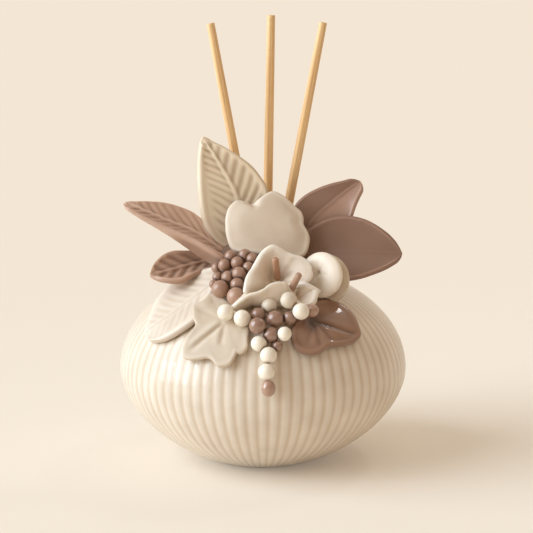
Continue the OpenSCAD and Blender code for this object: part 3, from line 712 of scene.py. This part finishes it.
# On some leaves one half is painted lighter or darker than the other, as light and shade that fall on it
LEAVES = {
    "tall_leaf": dict(
        root=(-62, -9.7, 1.5), hold=(-54, -11, -4.6), aim=(-115, 68), face=(0, 10), clay=TALL_CREAM, tip=1.8,
        rows=[(-4, 3, -3), (-2, 6.6, -6), (0, 8.2, -8), (2.5, 9.9, -10.5), (5.5, 11, -13.5),
              (12, 11.7, -17.6), (17, 10.9, -18.2), (21, 10, -17.3), (26.5, 8.5, -15.4), (32, 6.7, -12),
              (38.5, 4.2, -6.8), (42.5, 2, -3), (44.9, 0.7, -1.6)],
        spine=[(-4, 0), (10, -4), (19, -5.3), (25, -4.5), (34, -2.8), (44.9, -0.4)], bow=1, cup=(0.4, 2),
        vein=dict(spacing=(4.1, 5.6), slant=(1.1, 1.2), reach=(0.66, 0.84), depth=0.42, rib=0.18, crisp=1.5),
        rim=((0.55, 0.1), 1.7, 1.2), painted_shading=(-0.35, 0.25),
    ),
    "upper_left_leaf": dict(
        root=(-65, 1, -3.5), hold=(-60, -4.7, -6.5), aim=(-83, 30), face=(35, 45), clay=LIGHT_BROWN,
        boat=True, tip=2.6, bend=2.6, turn=80, raised=0.2, wall_shades=(-0.25, -1),
        rows=[(-14, 4.6, -4, 6.5), (-7, 6.4, -4.6, 8), (-3, 7.6, -5.4, 9.6), (1, 7.9, -6.8, 10.2),
              (5, 7.8, -8.8, 10), (9, 7.2, -10.8, 9.4), (14, 6.4, -12.3, 8), (21, 5.5, -11.7, 5.8),
              (28, 4.8, -9.5, 4.2), (35, 3.6, -5.6, 2.6), (39.5, 2.5, -2.9, 1.6), (42.8, 1.2, -1.4, 1)],
        spine=[(-14, 0), (-7, -1), (7, -3.4), (14, -3.4), (22, -2), (32, -1), (42.8, -0.4)],
        bow=1, cup=(0, 1.2),
        vein=dict(spacing=(4.4, 4.8), slant=(1.9, 1.3), reach=(0.9, 0.88), depth=0.32, rib=0.2, crisp=2.2),
    ),
    "lower_left_leaf": dict(
        root=(-76, 1.5, -6.5), hold=(-76, -5, -6.4), aim=(-70, -4), face=(-10, 50), clay=WARM_BROWN, tip=3.4,
        rows=[(-9, 4, -3.2), (-4, 6, -3.4), (3, 8, -3.4), (10, 10.4, -4.4), (15.5, 13.1, -5.2),
              (20, 12.8, -3.8), (23.5, 10.8, -1.4), (26, 8.8, 0.8), (27.6, 7.4, 2.4)],
        spine=[(-9, 1), (10, 3.2), (20, 4.5), (27.6, 5)], bow=1, cup=(1.6, 1.0),
        vein=dict(spacing=(5.2, 5.2), slant=(0.9, 1.0), reach=(0.72, 0.8), depth=0.4, rib=0.2, crisp=1.2),
        rim=((0.7, 0.25), 1.5, 1.2), rim_over=(9, 15),
    ),
    "upper_right_leaf": dict(
        root=(75, -3, 0.2), hold=(66, -6.4, -4), aim=(107, 44), face=(0, 15), clay=BROWN, tip=3.2,
        rows=[(0, 4, -3), (3, 9.6, -6), (8, 13.4, -8.6), (13, 13.6, -9.2), (19.5, 11.7, -7.8),
              (26, 8.3, -4.9), (30, 5.8, -3.6), (34.2, 3.8, -2.6)],
        spine=[(0, 1), (7, 3.6), (20, 3.2), (34.2, 1)], bow=1, cup=(1.4, 2.6), cup_over=(15, 27), fold=0.16,
        rim=((0.2, 0.2), 0.8, 0.5), painted_shading=(0, -0.85),
    ),
    "right_leaf": dict(
        root=(65, 1.5, -5), hold=(58, -5, -6), aim=(90, 3), face=(0, 30), clay=BROWN, tip=3.0,
        rows=[(-5, 7, -5), (-2, 10.4, -7.6), (2, 12.8, -9.8), (5, 14.2, -11), (11.5, 15.7, -12.6),
              (18, 15.2, -12.2), (25, 12.4, -10.2), (31, 7.8, -7.6), (34.6, 4.2, -5.2), (37, 2, -3.6)],
        spine=[(-5, 1), (20, 0.6), (37, -0.8)], bow=1.5, cup=(2.8, 2.6), fold=0.07,
        rim=((0.25, 0.45), 0.9, 0.6), painted_shading=(0.1, 0.25),
    ),
}

for name, leaf in LEAVES.items():
    sheet = boat_shape(leaf) if leaf.get("boat") else blade_shape(leaf)
    slot = "cream_clay" if leaf["clay"] is TALL_CREAM else "brown_clay"
    clay_piece(name, on_stem(leaf, False, *sheet), leaf["clay"])


# Large petal: outline rows of angle from its top towards its left, and radius

PETAL = dict(root=(4, 0.6, -3.2), hold=(4, -4.5, -5.5), aim=(170, 62), face=(0, 25), centre=(13.1, 0.5))
PETAL_ROWS = [(0, 15.4), (8, 14.2), (22, 12.6), (36, 12.4), (44, 13.4), (50, 16.8), (62, 18.3),
              (76, 18.1), (92, 17.5), (111, 17.4), (128, 17.4), (145, 14.6), (180, 12.5), (215, 15),
              (237, 19), (251, 18.3), (262, 17.4), (272, 15.8), (281, 14.7), (290, 15.2), (302, 15.4),
              (314, 14.5), (324, 14.4), (342, 15.1), (360, 15.4)]


def polar(rows, rings, steps):
    """Share of the reach, angle in degrees and the rows' values at each angle."""
    share = np.sin(np.linspace(0, 1, rings) * math.pi / 2)[:, None]
    angle = np.linspace(0, 360, steps, endpoint=False)
    return share, angle[None, :], spline(rows[:-1], angle, 360)


def petal_shape():
    """Domed petal with a notch, drooping sides and its stem."""
    share, angle, values = polar(PETAL_ROWS, 40, 200)
    r = share * values[None, :, 0]
    x = PETAL["centre"][0] + r * np.cos(np.radians(angle))
    y = PETAL["centre"][1] + r * np.sin(np.radians(angle))
    dome = 0.9 - 1.5 * (r / 17) ** 2.4
    dents = 0.45 * np.sin(x * 0.3 + 0.6) * np.cos(y * 0.24 - 0.4) * share
    notch = 3.0 * bell(angle, 37, 11) * smoothstep(share, 0.7, 1)
    bend = 1.6 * bell(angle, 285, 34) * smoothstep(share, 0.55, 1)
    bend = bend + 0.8 * bell(angle, 78, 40) * smoothstep(share, 0.6, 1)
    middle = np.stack([x, y, dome + dents - notch - bend], -1)
    edge = (1 - share) * values[None, :, 0]
    rise = 0.12 * bell(edge, 1.4, 1.0) * inside(edge)
    # The rounded edge is painted lighter, as a highlight on it
    return on_stem(PETAL, True, middle, edge_half(edge, PETAL_T), rise, -0.5 * bell(edge, 0.2, 1.6))


clay_piece("large_petal", petal_shape(), PETAL_CREAM)


# Leaves that lie on the shoulder: outline rows of angle from north, share of the reach and lift

IVY = dict(
    start=(-18.7, 40.6), reach=23.0,
    rows=[(0, 0.45, 0), (60, 0.42, 0), (105, 0.47, 0), (128, 0.62, 0.6), (138, 0.75, 0.9),
          (147, 0.78, 1.1), (152, 0.74, 1.2), (156, 0.81, 1.5), (162, 0.91, 1.9), (170, 0.935, 1.9),
          (177, 0.91, 1.8), (182, 0.83, 1.5), (187, 0.79, 1.4), (200, 0.88, 1.7), (208, 0.97, 2),
          (214, 1.0, 2), (220, 0.94, 1.9), (236, 0.68, 1.7), (250, 0.53, 1.7), (264, 0.57, 2.6),
          (274, 0.6, 3.3), (283, 0.63, 3.7), (290, 0.6, 3.8), (298, 0.55, 3.9), (308, 0.55, 4.1),
          (319, 0.58, 4.1), (326, 0.56, 3.8), (334, 0.52, 3), (345, 0.45, 1.6), (360, 0.42, 0)],
    veins=[(216, 0.85, 0.45), (176, 0.55, 0.25)], rim=0.12, swell=0.12, painted_shading=0.0,
)
LOWER_RIGHT = dict(
    start=(24.4, 40.1), reach=22.0,
    rows=[(0, 0.3, 0), (25, 0.44, 0.3), (47, 0.66, 0.6), (70, 0.8, 1.1), (90, 0.9, 1.5), (108, 0.98, 1.3),
          (118, 1.02, 1), (126, 0.95, 0.8), (142, 0.76, 0.6), (158, 0.63, 0.6), (170, 0.62, 0.8),
          (184, 0.7, 1.1), (197, 0.75, 1), (221, 0.72, 0.4), (240, 0.55, 0), (275, 0.3, 0),
          (320, 0.28, 0), (360, 0.3, 0)],
    veins=[(119, 0.95, 0.28), (152, 0.6, 0.2), (182, 0.6, 0.2), (206, 0.6, 0.14)],
    # Its middle is painted darker, as the shadow of the beads and flowers over it
    rim=0.28, swell=0.3, painted_shading=1.0,
)


def lobed_shape(leaf):
    """Lobed leaf draped over the shoulder, with veins as rows of bearing, length and depth."""
    share, angle, values = polar(leaf["rows"], 44, 216)
    reach = leaf["reach"] * values[None, :, 0]
    r = share * reach
    east, north = r * np.sin(np.radians(angle)), r * np.cos(np.radians(angle))
    lift = values[None, :, 1] * share ** 2 + REST_GAP + LEAF_T / 2
    middle = drape(leaf["start"], east, north, lift)
    edge = (1 - share) * reach
    rise = leaf["rim"] * bell(edge, 1.6, 1.2) * smoothstep(share, 0.3, 0.7)
    rise = rise + leaf["swell"] * np.sin(math.pi * share) ** 2
    for bearing, length, depth in leaf["veins"]:
        ahead = np.radians(bearing)
        along = east * math.sin(ahead) + north * math.cos(ahead)
        off = east * math.cos(ahead) - north * math.sin(ahead)
        end = length * leaf["reach"]
        fade = smoothstep(along, 0.5, 3) * (1 - smoothstep(along, 0.75 * end, end))
        banks = 0.5 * bell(off, 2, 1.4) + 0.5 * bell(off, -2, 1.4)
        rise = rise + fade * depth * (banks - 1.2 * bell(off, 0, 1.0))
    # Painted shadow towards the leaf's middle, where the pieces above it cast shade
    painted_shading = leaf["painted_shading"] * (1 - smoothstep(share, 0.1, 0.8))
    return sheet_shape(middle, edge_half(edge, LEAF_T), rise * inside(edge), outward(middle), True, painted_shading)


clay_piece("ivy_leaf", lobed_shape(IVY), CREAM)
clay_piece("lower_right_leaf", lobed_shape(LOWER_RIGHT), LEAF_GLOSS)

# The long leaf has a blade's outline rows instead: along, plus edge and minus edge
SHOULDER = dict(
    start=(-49, 66), heading=186, lift=4.5, fade=4, far_lift=1.6, hold=(-44, -3.7, -7.5),
    length=37.0, tip=3.0, thick=2.4, rim=0.35,
    rows=[(-1, 5, -2.4), (2, 9, -5), (6.5, 10.2, -10), (11.5, 11.8, -14.4), (17, 14.4, -14.4),
          (22.5, 14.9, -13.2), (26.6, 13.4, -11.6), (30, 11.4, -10.2), (33, 9.2, -8.4), (35.5, 6.4, -7),
          (37.6, 4, -5.6)],
    spine=[(-1, 7.5), (8, 6.2), (14.6, 4.4), (24.3, 1.1), (34.3, -4.6), (37.6, -6)],
    vein=dict(spacing=(3.4, 3.2), slant=(1.1, 0.24), reach=(0.72, 0.7), depth=0.18, rib=-0.2, crisp=1.0),
)


def shoulder_shape():
    """Long leaf draped over the shoulder, lifted where it starts at the pad, and its stem."""
    _, along, t, plus, minus = blade_grid(SHOULDER["rows"], (100, 65), SHOULDER["tip"])
    side = minus + (plus - minus) * (t + 1) / 2
    ahead = math.radians(SHOULDER["heading"])
    east = along * math.sin(ahead) - side * math.cos(ahead)
    north = along * math.cos(ahead) + side * math.sin(ahead)
    descent = np.clip(1 - along / SHOULDER["length"], 0, 1) ** SHOULDER["fade"]
    height = REST_GAP + SHOULDER["thick"] / 2 + SHOULDER["lift"] * descent
    height = height + SHOULDER["far_lift"] * smoothstep(-side, 1, 12) * (1 - smoothstep(along, 20, 33))
    middle = drape(SHOULDER["start"], east, north, height)
    edge = np.minimum(plus - side, side - minus)
    spine = spline(SHOULDER["spine"], along[:, 0])
    offset = side - spine
    rise = vein_rise(along, offset, np.where(offset > 0, plus - spine, spine - minus), SHOULDER["vein"])
    rise = rise + SHOULDER["rim"] * bell(edge, 2.0, 1.5) * smoothstep(plus - minus, 2, 8)
    blade = sheet_shape(middle, edge_half(edge, SHOULDER["thick"]), rise * inside(edge), outward(middle))
    root = drape(SHOULDER["start"], 0, -STEM_LAP, REST_GAP + SHOULDER["lift"] + LEAF_T / 2)
    return joined([blade, stem_shape(root, SHOULDER["hold"])])


clay_piece("shoulder_leaf", shoulder_shape(), PALE_CREAM)


# Lilies: rim rows of angle from the right, radius, rise along the axis, and how full the wall is below

LARGE_LILY = dict(
    at=(9.7, 7.4, -13), axis=(0.05, -0.62, 0.78), hold=(17, -4.3, -6), depth=10, belly=(19, -3),
    spadix=12.5, lean=(-0.12, 0, 0), foot=(0.9, 0, 0),
    rim=[(0, 14.3, 9, 0), (8, 14.3, 9, 0), (21, 13.5, 9.5, 0), (30, 12.3, 10, 0), (39, 10.4, 10.5, 0),
         (54, 9.2, 11, 0), (76, 9.1, 12.5, 0), (96, 9.8, 13.5, 0), (113, 9.2, 13.2, 0),
         (133, 8.6, 12.5, 0), (163, 8.6, 11.5, 0), (180, 9.8, 10.5, 0), (198, 12.7, 10, 0),
         (209, 14.8, 9.5, 0), (215, 16.3, 9, 0), (218, 16.9, 8.6, 0.2), (220, 17.1, 8, 0.6),
         (220.8, 20.5, 7.2, 1), (221.4, 24, 6.8, 1), (222.6, 22.2, 8, 1), (224.5, 19.7, 9.2, 1),
         (227, 17.3, 10, 1), (235.6, 14, 11, 1), (243, 12, 11.8, 1), (249, 10.2, 12.6, 1),
         (261, 8.7, 13, 1), (280, 8.1, 12.6, 1), (293, 8.6, 11.6, 1), (300, 9, 9, 0.9),
         (312, 9.6, 6.5, 0.6), (324, 11.2, 6.5, 0.3), (334, 13, 7.6, 0), (342, 14.2, 8.6, 0),
         (350, 14.6, 9, 0), (360, 14.3, 9, 0)],
)
SMALL_LILY = dict(
    at=(17.4, 15.7, -16.8), axis=(0.3, -0.6, 0.74), hold=(28, -2, -6), depth=5, belly=(9, -1),
    spadix=11.0, lean=(0.02, 0, 0), foot=(-1.1, 0, 0.4),
    rim=[(0, 5, 8.6, 0), (30, 3.6, 6.5, 0), (90, 2.8, 4, 0), (180, 2.6, 3, 0), (230, 3.4, 3.4, 0),
         (256, 6.4, 5.4, 0.3), (277, 9.6, 7.3, 0.4), (297, 10, 8, 0.4), (320, 9.2, 8.5, 0.3),
         (331, 9.2, 8.9, 0.2), (338, 9.6, 9, 0.1), (343, 7.6, 9, 0), (349, 6, 9, 0), (360, 5, 8.6, 0)],
)


def lily_shape(lily):
    """Funnel with a rolled, wavy rim, and its stem."""
    axes = axes_at(lily["axis"], [0, 0, 1])
    origin = from_pad(lily["at"])
    share = np.linspace(0, 1, 48)[:, None]
    angle = np.linspace(0, 360, 600, endpoint=False)
    values = spline(lily["rim"][:-1], angle, 360)
    radius, rise, full = values[None, :, 0], values[None, :, 1], np.clip(values[None, :, 2], 0, 1)
    trumpet_r = LILY_THROAT + (radius - LILY_THROAT) * share ** LILY_FLARE
    trumpet_up = (lily["depth"] * (1 - share) + rise * share) * np.sin(math.pi / 2 * share)
    belly = np.maximum(radius + 1.5, lily["belly"][0])
    pouch_r = LILY_THROAT * (1 - share) ** 2 + 2 * belly * share * (1 - share) + radius * share ** 2
    pouch_up = 2 * lily["belly"][1] * share * (1 - share) + rise * share ** 2
    round_base = np.sqrt(np.clip(1 - (1 - np.clip(share / 0.16, 0, 1)) ** 2, 0, 1))
    r = (trumpet_r + (pouch_r - trumpet_r) * full) * round_base
    up = trumpet_up + (pouch_up - trumpet_up) * full
    roll = smoothstep(share, 0.82, 1)
    up = up - 0.7 * roll
    r = r + 0.5 * roll
    turn = np.radians(angle)[None, :]
    middle = np.stack([up + 0 * turn, r * np.cos(turn), r * np.sin(turn)], -1)
    edge = (1 - share) * np.maximum(radius, 6)
    half = edge_half(edge, LILY_T)
    rim = 0.15 * bell(edge, 1.0, 0.8) * inside(edge)
    # The rolled rim is painted lighter, as a highlight on it
    funnel = sheet_shape(origin + middle @ axes, half, rim, axes[0], True, -0.8 * bell(edge, 0.2, 1.2))
    stem = stem_shape(origin + STEM_LAP * axes[0], lily["hold"])
    return joined([funnel, stem])


def spadix_shape(lily):
    """Bar that stands in a lily's throat, slimmer at its end."""
    axis = unit(lily["axis"])
    start = from_pad(lily["at"]) + SPADIX_LIFT * axis + lily["foot"]
    way = unit(axis + lily["lean"])
    return rod_shape(start, start + lily["spadix"] * way, (SPADIX_D / 2, SPADIX_D / 2 * SPADIX_SLIM))


for name, lily, tint in (("large", LARGE_LILY, SPADIX_BROWN), ("small", SMALL_LILY, WARM_BROWN)):
    clay_piece(name + "_lily", lily_shape(lily), LILY_CREAM)
    clay_piece(name + "_spadix", spadix_shape(lily), tint)


# Button flower: two soft discs on one axis, the front one pinched in its middle

BUTTON = dict(
    at=(37.2, 16.6, -8.6), axis=(-0.5, -0.83, 0.24), hold=(41.5, -3.6, -7.5), root=1.8,
    back_extra=2.0, back_sag=1.5, gap=0.15, pinch_at=(-0.1, 0.08), groove_at=228,
)


def button_shape(radius, front, pinch, sag):
    """Soft disc, lowered by its sag; the pinch draws in its front, left of the middle."""
    angle = around(144)[None, :]
    section = np.concatenate([np.linspace(0, 1, 40), np.linspace(1, 0, 14)[1:]])[:, None]
    face = np.concatenate([np.ones(40), -np.ones(13)])[:, None]
    half_t = BUTTON_T / 2
    round_edge = half_t * np.sqrt(np.clip(1 - np.clip((section - 0.62) / 0.38, 0, 1) ** 2.2, 0, 1))
    uneven = 1 + 0.015 * np.cos(2 * angle + 0.7) + 0.01 * np.cos(3 * angle)
    y, z = radius * section * uneven * np.cos(angle), radius * section * uneven * np.sin(angle)
    away_y, away_z = y - BUTTON["pinch_at"][0] * radius, z - BUTTON["pinch_at"][1] * radius
    away = np.hypot(away_y, away_z) / radius
    turn = np.arctan2(away_z, away_y)
    creases = 0.1 * np.cos(7 * turn + 0.4) + 0.07 * np.cos(11 * turn + 1.3)
    groove_turn = turn - math.radians(BUTTON["groove_at"])
    groove = 0.35 * bell(np.cos(groove_turn), 1, 0.12) * bell(away, 0.3, 0.25)
    hollow = 1.3 * bell(away, 0, 0.12) + (0.3 + creases) * bell(away, 0.05, 0.3) + groove
    swell = 0.25 * bell(away, 0.55, 0.25) * smoothstep(0.98 - section, 0, 0.3)
    drawn = pinch * (face > 0) * (hollow - swell)
    height = half_t + face * round_edge - drawn
    middle = np.stack([front - BUTTON_T + height, y, z - sag], -1)
    points = from_pad(BUTTON["at"]) + middle @ axes_at(BUTTON["axis"], [0, 0, 1])
    # The pinched dimple is painted darker as shade, and the swell lighter as a highlight
    return grid_shape(points, True, np.clip(-0.4 * drawn, -1, 0.3))


back_radius = (BUTTON_D + BUTTON["back_extra"]) / 2
button_back = button_shape(back_radius, -BUTTON_T - BUTTON["gap"], pinch=0.0, sag=BUTTON["back_sag"])
button_root = from_pad(BUTTON["at"]) - BUTTON["root"] * BUTTON_T * unit(BUTTON["axis"])
button_stem = stem_shape(button_root, BUTTON["hold"])
button_front = button_shape(BUTTON_D / 2, 0, pinch=1.0, sag=0.0)
clay_piece("button_front", button_front, LILY_CREAM)
clay_piece("button_back", joined([button_back, button_stem]), CREAM)


# Berries and beads: rows of a place in diameters or pitches, a share of the size, and perhaps a tint, a shift
# of tone that is lighter above 0 and darker below

BERRY_AT = (-23.2, 9.6, -8.1)
BERRY_SWELL = 1.2
BEAD_SWELL = 1.05
BERRIES = [
    (-0.2, 1.1, 1.1, 0.9), (0.95, 0.75, 1.3, 0.9), (1.55, 0.15, 1.1, 0.8), (0.35, 0.3, 0.75, 0.9),
    (1.25, -0.4, 0.5, 0.8), (-0.7, 0.6, 0.5, 0.9), (-1.35, 1.05, 0.2, 0.75), (0.5, -0.75, 0.05, 1),
    (-0.4, -0.5, -0.3, 0.95), (-1.25, 0, -0.4, 0.75), (-1.55, -0.5, -0.85, 0.65),
    (0.35, -1.4, -0.7, 0.95), (-1, -1.25, -1.1, 1.22, 0.1), (0.27, -2.2, -1.5, 1.24, 0.4),
]
BEAD_START = (2, 40)
# The bud bead's tint below 0 is painted shade, partly a duller clay
CREAM_BEADS = [
    (-2.33, 0.22, 0.4, 1), (-1.4, -0.05, 0.3, 1), (1.8, -0.05, 0.9, 1),
    (0.93, -1.1, 0.4, 0.85), (-0.5, -1.55, 0, 0.95), (1.15, 0.65, 1, 1, -0.36),
]
BROWN_BEADS = [
    (-0.5, 0.42, 0.05, 0.9), (-0.55, -0.6, 0.4, 1), (1.3, 0.1, 0.15, 0.85),
    (0.54, -1.65, 0, 0.65), (2.52, 0.1, 0.75, 0.78, 0.9),
]
# The top bead's tint below 0 is painted shade, partly a duller clay
STRAND_CREAM = [(0.15, 1.0, 0.15, 0.95, -0.45), (0.03, -2.3, 0, 1), (-0.1, -3.36, 0, 1)]
STRAND_BROWN = [(0.45, 0.06, 0.05, 1.04), (0.2, -0.98, 0, 0.98)]
STRAND_DROP = (0, -4.4, 0, 0.95)
DROP_SHARES = (0.92, 0.92, 1.1)


def bead_centre(bead):
    """Centre of a bead on the shoulder, from its steps east and north and its height over it."""
    height = bead[3] * BEAD_D / 2 + REST_GAP + bead[2] * BEAD_PITCH
    return drape(BEAD_START, bead[0] * BEAD_PITCH, bead[1] * BEAD_PITCH, height)


def berry_centre(berry):
    """Centre of a berry, from its steps along X, Y and Z."""
    return from_pad(BERRY_AT) + BERRY_D * np.array(berry[:3])


def balls_of(rows, centre_of, size):
    """Centre, radius and tint of each ball."""
    return [(centre_of(row), row[3] * size / 2, row[4] if len(row) > 4 else 0.0) for row in rows]


def crowded_balls(balls, crowd):
    """Balls painted darker where they come close to another ball of the crowd, as shade between them."""
    shapes = []
    for number, (centre, radius, tint) in enumerate(balls):
        points, faces, relief = ball_shape(centre, [radius] * 3, 1.3 * number)
        for other, reach, _ in crowd:
            if np.linalg.norm(other - centre) > 0.01:
                gap = np.linalg.norm(points - other, axis=1) - reach
                # Painted shade near the other ball
                relief = np.minimum(relief, smoothstep(gap, -0.1, CROWD_GAP) - 1)
        # The tint is the ball's own tone, and on two cream beads partly painted shade
        shapes.append((points, faces, relief + tint))
    return joined(shapes)


berries = balls_of(BERRIES, berry_centre, BERRY_SWELL * BERRY_D)
clay_piece("berries", crowded_balls(berries, berries), BERRY_BROWN)

BEAD_GROUPS = [
    ("cream_beads", CREAM_BEADS, BEAD_CREAM, "cream_clay"),
    ("brown_beads", BROWN_BEADS, BEAD_BROWN, "brown_clay"),
    ("strand_cream_beads", STRAND_CREAM, BEAD_CREAM, "cream_clay"),
    ("strand_brown_beads", STRAND_BROWN, BEAD_BROWN, "brown_clay"),
]
bead_size = BEAD_SWELL * BEAD_D
all_beads = [ball for group in BEAD_GROUPS for ball in balls_of(group[1], bead_centre, bead_size)]
for node, beads, material, slot in BEAD_GROUPS:
    clay_piece(node, crowded_balls(balls_of(beads, bead_centre, bead_size), all_beads), material)
drop_radii = np.array(DROP_SHARES) * STRAND_DROP[3] * BEAD_D / 2
points, faces, relief = ball_shape(bead_centre(STRAND_DROP), drop_radii, 0.5)
clay_piece("strand_drop", (points, faces, relief + DROP_TINT), BEAD_BROWN)


# Solids that stay as they are and take a finish

KEPT = {
    "stopper": PAD_SHADE_CLAY,
    "flower_pad": PAD_SHADE_CLAY,
    "gasket": RUBBER,
    "berry_stalk": BROWN,
    "strand_wire": BRASS,
}
for node, material in KEPT.items():
    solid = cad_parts[node]
    solid.data.materials.clear()
    solid.data.materials.append(material)


# Stage, lights and camera

BACKDROP = srgb(244, 230, 212)
FLOOR = srgb(248, 240, 227)
# Floor in metres: half its width, its front, the start and radius of its sweep, and the wall's top
FLOOR_HALF = 3.0
FLOOR_FRONT = -2.0
SWEEP_Y = 0.6
SWEEP_R = 0.8
WALL_TOP = 2.5


def floor_material():
    """Pale floor that takes the shadow near the object and fades to an even backdrop."""
    material, tree, shader = new_material("pale_floor")
    set_inputs(shader, Base_Color=FLOOR, Roughness=0.9, Specular_IOR_Level=0.1)
    coords = add(tree, "ShaderNodeTexCoord")
    length = add(tree, "ShaderNodeVectorMath", operation="LENGTH")
    link(coords.outputs["Object"], length.inputs[0])
    far = add(
        tree, "ShaderNodeMapRange", interpolation_type="SMOOTHSTEP", From_Min=0.12, From_Max=0.5, To_Min=0.2
    )
    link(length.outputs["Value"], far.inputs["Value"])
    path = add(tree, "ShaderNodeLightPath")
    seen = add(tree, "ShaderNodeMath", operation="MAXIMUM")
    link(path.outputs["Is Camera Ray"], seen.inputs[0])
    link(path.outputs["Is Glossy Ray"], seen.inputs[1])
    both = add(tree, "ShaderNodeMath", operation="MULTIPLY")
    link(far.outputs["Result"], both.inputs[0])
    link(seen.outputs[0], both.inputs[1])
    glow = add(tree, "ShaderNodeEmission", Color=BACKDROP, Strength=1.0)
    mix = add(tree, "ShaderNodeMixShader")
    link(both.outputs[0], mix.inputs[0])
    link(shader.outputs[0], mix.inputs[1])
    link(glow.outputs[0], mix.inputs[2])
    link(mix.outputs[0], tree.nodes["Material Output"].inputs["Surface"])
    return material


def stage_floor():
    """Floor with a wide sweep up to a wall behind the object."""
    rows = [(FLOOR_FRONT, 0), (SWEEP_Y, 0)]
    for angle in np.linspace(0.1, math.pi / 2, 12):
        rows.append((SWEEP_Y + SWEEP_R * math.sin(angle), SWEEP_R - SWEEP_R * math.cos(angle)))
    rows.append((SWEEP_Y + SWEEP_R, WALL_TOP))
    points = [(x, y, z) for y, z in rows for x in (-FLOOR_HALF, FLOOR_HALF)]
    faces = [(2 * i, 2 * i + 1, 2 * i + 3, 2 * i + 2) for i in range(len(rows) - 1)]
    mesh = bpy.data.meshes.new("floor")
    mesh.from_pydata(points, [], faces)
    for polygon in mesh.polygons:
        polygon.use_smooth = True
    mesh.materials.append(floor_material())
    floor = linked("floor", mesh)


def facing(way):
    """Turn that points a light or camera along a direction."""
    return Vector(way).to_track_quat("-Z", "Y").to_euler()


def area_light(name, place, aim, size, power, colour):
    """Panel of light at a place in metres, turned to its aim and out of the camera's sight."""
    data = bpy.data.lights.new(name, "AREA")
    data.shape = "RECTANGLE"
    data.size, data.size_y = size
    data.energy = power
    data.color = colour
    light = linked(name, data)
    light.location = place
    light.visible_camera = False
    light.rotation_euler = facing(Vector(aim) - Vector(place))


def sun_light(name, bearing, rise, spread, power, colour):
    """Broad light from a bearing and a rise, as wide as its spread in degrees."""
    data = bpy.data.lights.new(name, "SUN")
    data.angle = math.radians(spread)
    data.energy = power
    data.color = colour
    light = linked(name, data)
    light.rotation_euler = facing(-toward(bearing, rise))


def world_light(strength, colour):
    world = bpy.data.worlds.new("studio")
    bpy.context.scene.world = world
    world.use_nodes = True
    set_inputs(world.node_tree.nodes["Background"], Color=colour, Strength=strength)


def studio_camera():
    """Camera a little above the spray, as in the photo, with everything sharp."""
    aim = Vector((0.00146, 0, 0.081))
    elevation = math.radians(11)
    distance = 0.9
    data = bpy.data.cameras.new("camera")
    data.sensor_width = 36.0
    data.lens = 145.6
    camera = linked("camera", data)
    camera.location = aim + distance * Vector((0, -math.cos(elevation), math.sin(elevation)))
    camera.rotation_euler = facing(aim - camera.location)
    bpy.context.scene.camera = camera


stage_floor()
world_light(strength=0.43, colour=(1.0, 0.765, 0.55, 1.0))
sun_light("key", bearing=-75, rise=28, spread=58, power=3.1, colour=(0.79, 0.925, 1.05))
# Panels: name, place, aim, size, power and colour
PANELS = [
    ("strip", (-0.62, -0.2, 0.15), (0, 0, 0.05), (0.025, 0.26), 0.36, (0.9, 0.96, 1.0)),
    ("glint", (-0.9, -0.29, 0.42), (0, -0.03, 0.08), (0.05, 0.05), 0.5, (0.9, 0.96, 1.0)),
    ("top", (0.1, -0.4, 0.95), (0, 0, 0.08), (0.6, 0.6), 0.4, (1.0, 0.97, 0.94)),
    ("window", (0.38, 0.30, 0.71), (0.03, -0.034, 0.07), (0.09, 0.05), 0.4, (1.0, 1.0, 1.0)),
]
for panel in PANELS:
    area_light(*panel)
studio_camera()
bpy.context.scene.view_settings.view_transform = "Standard"
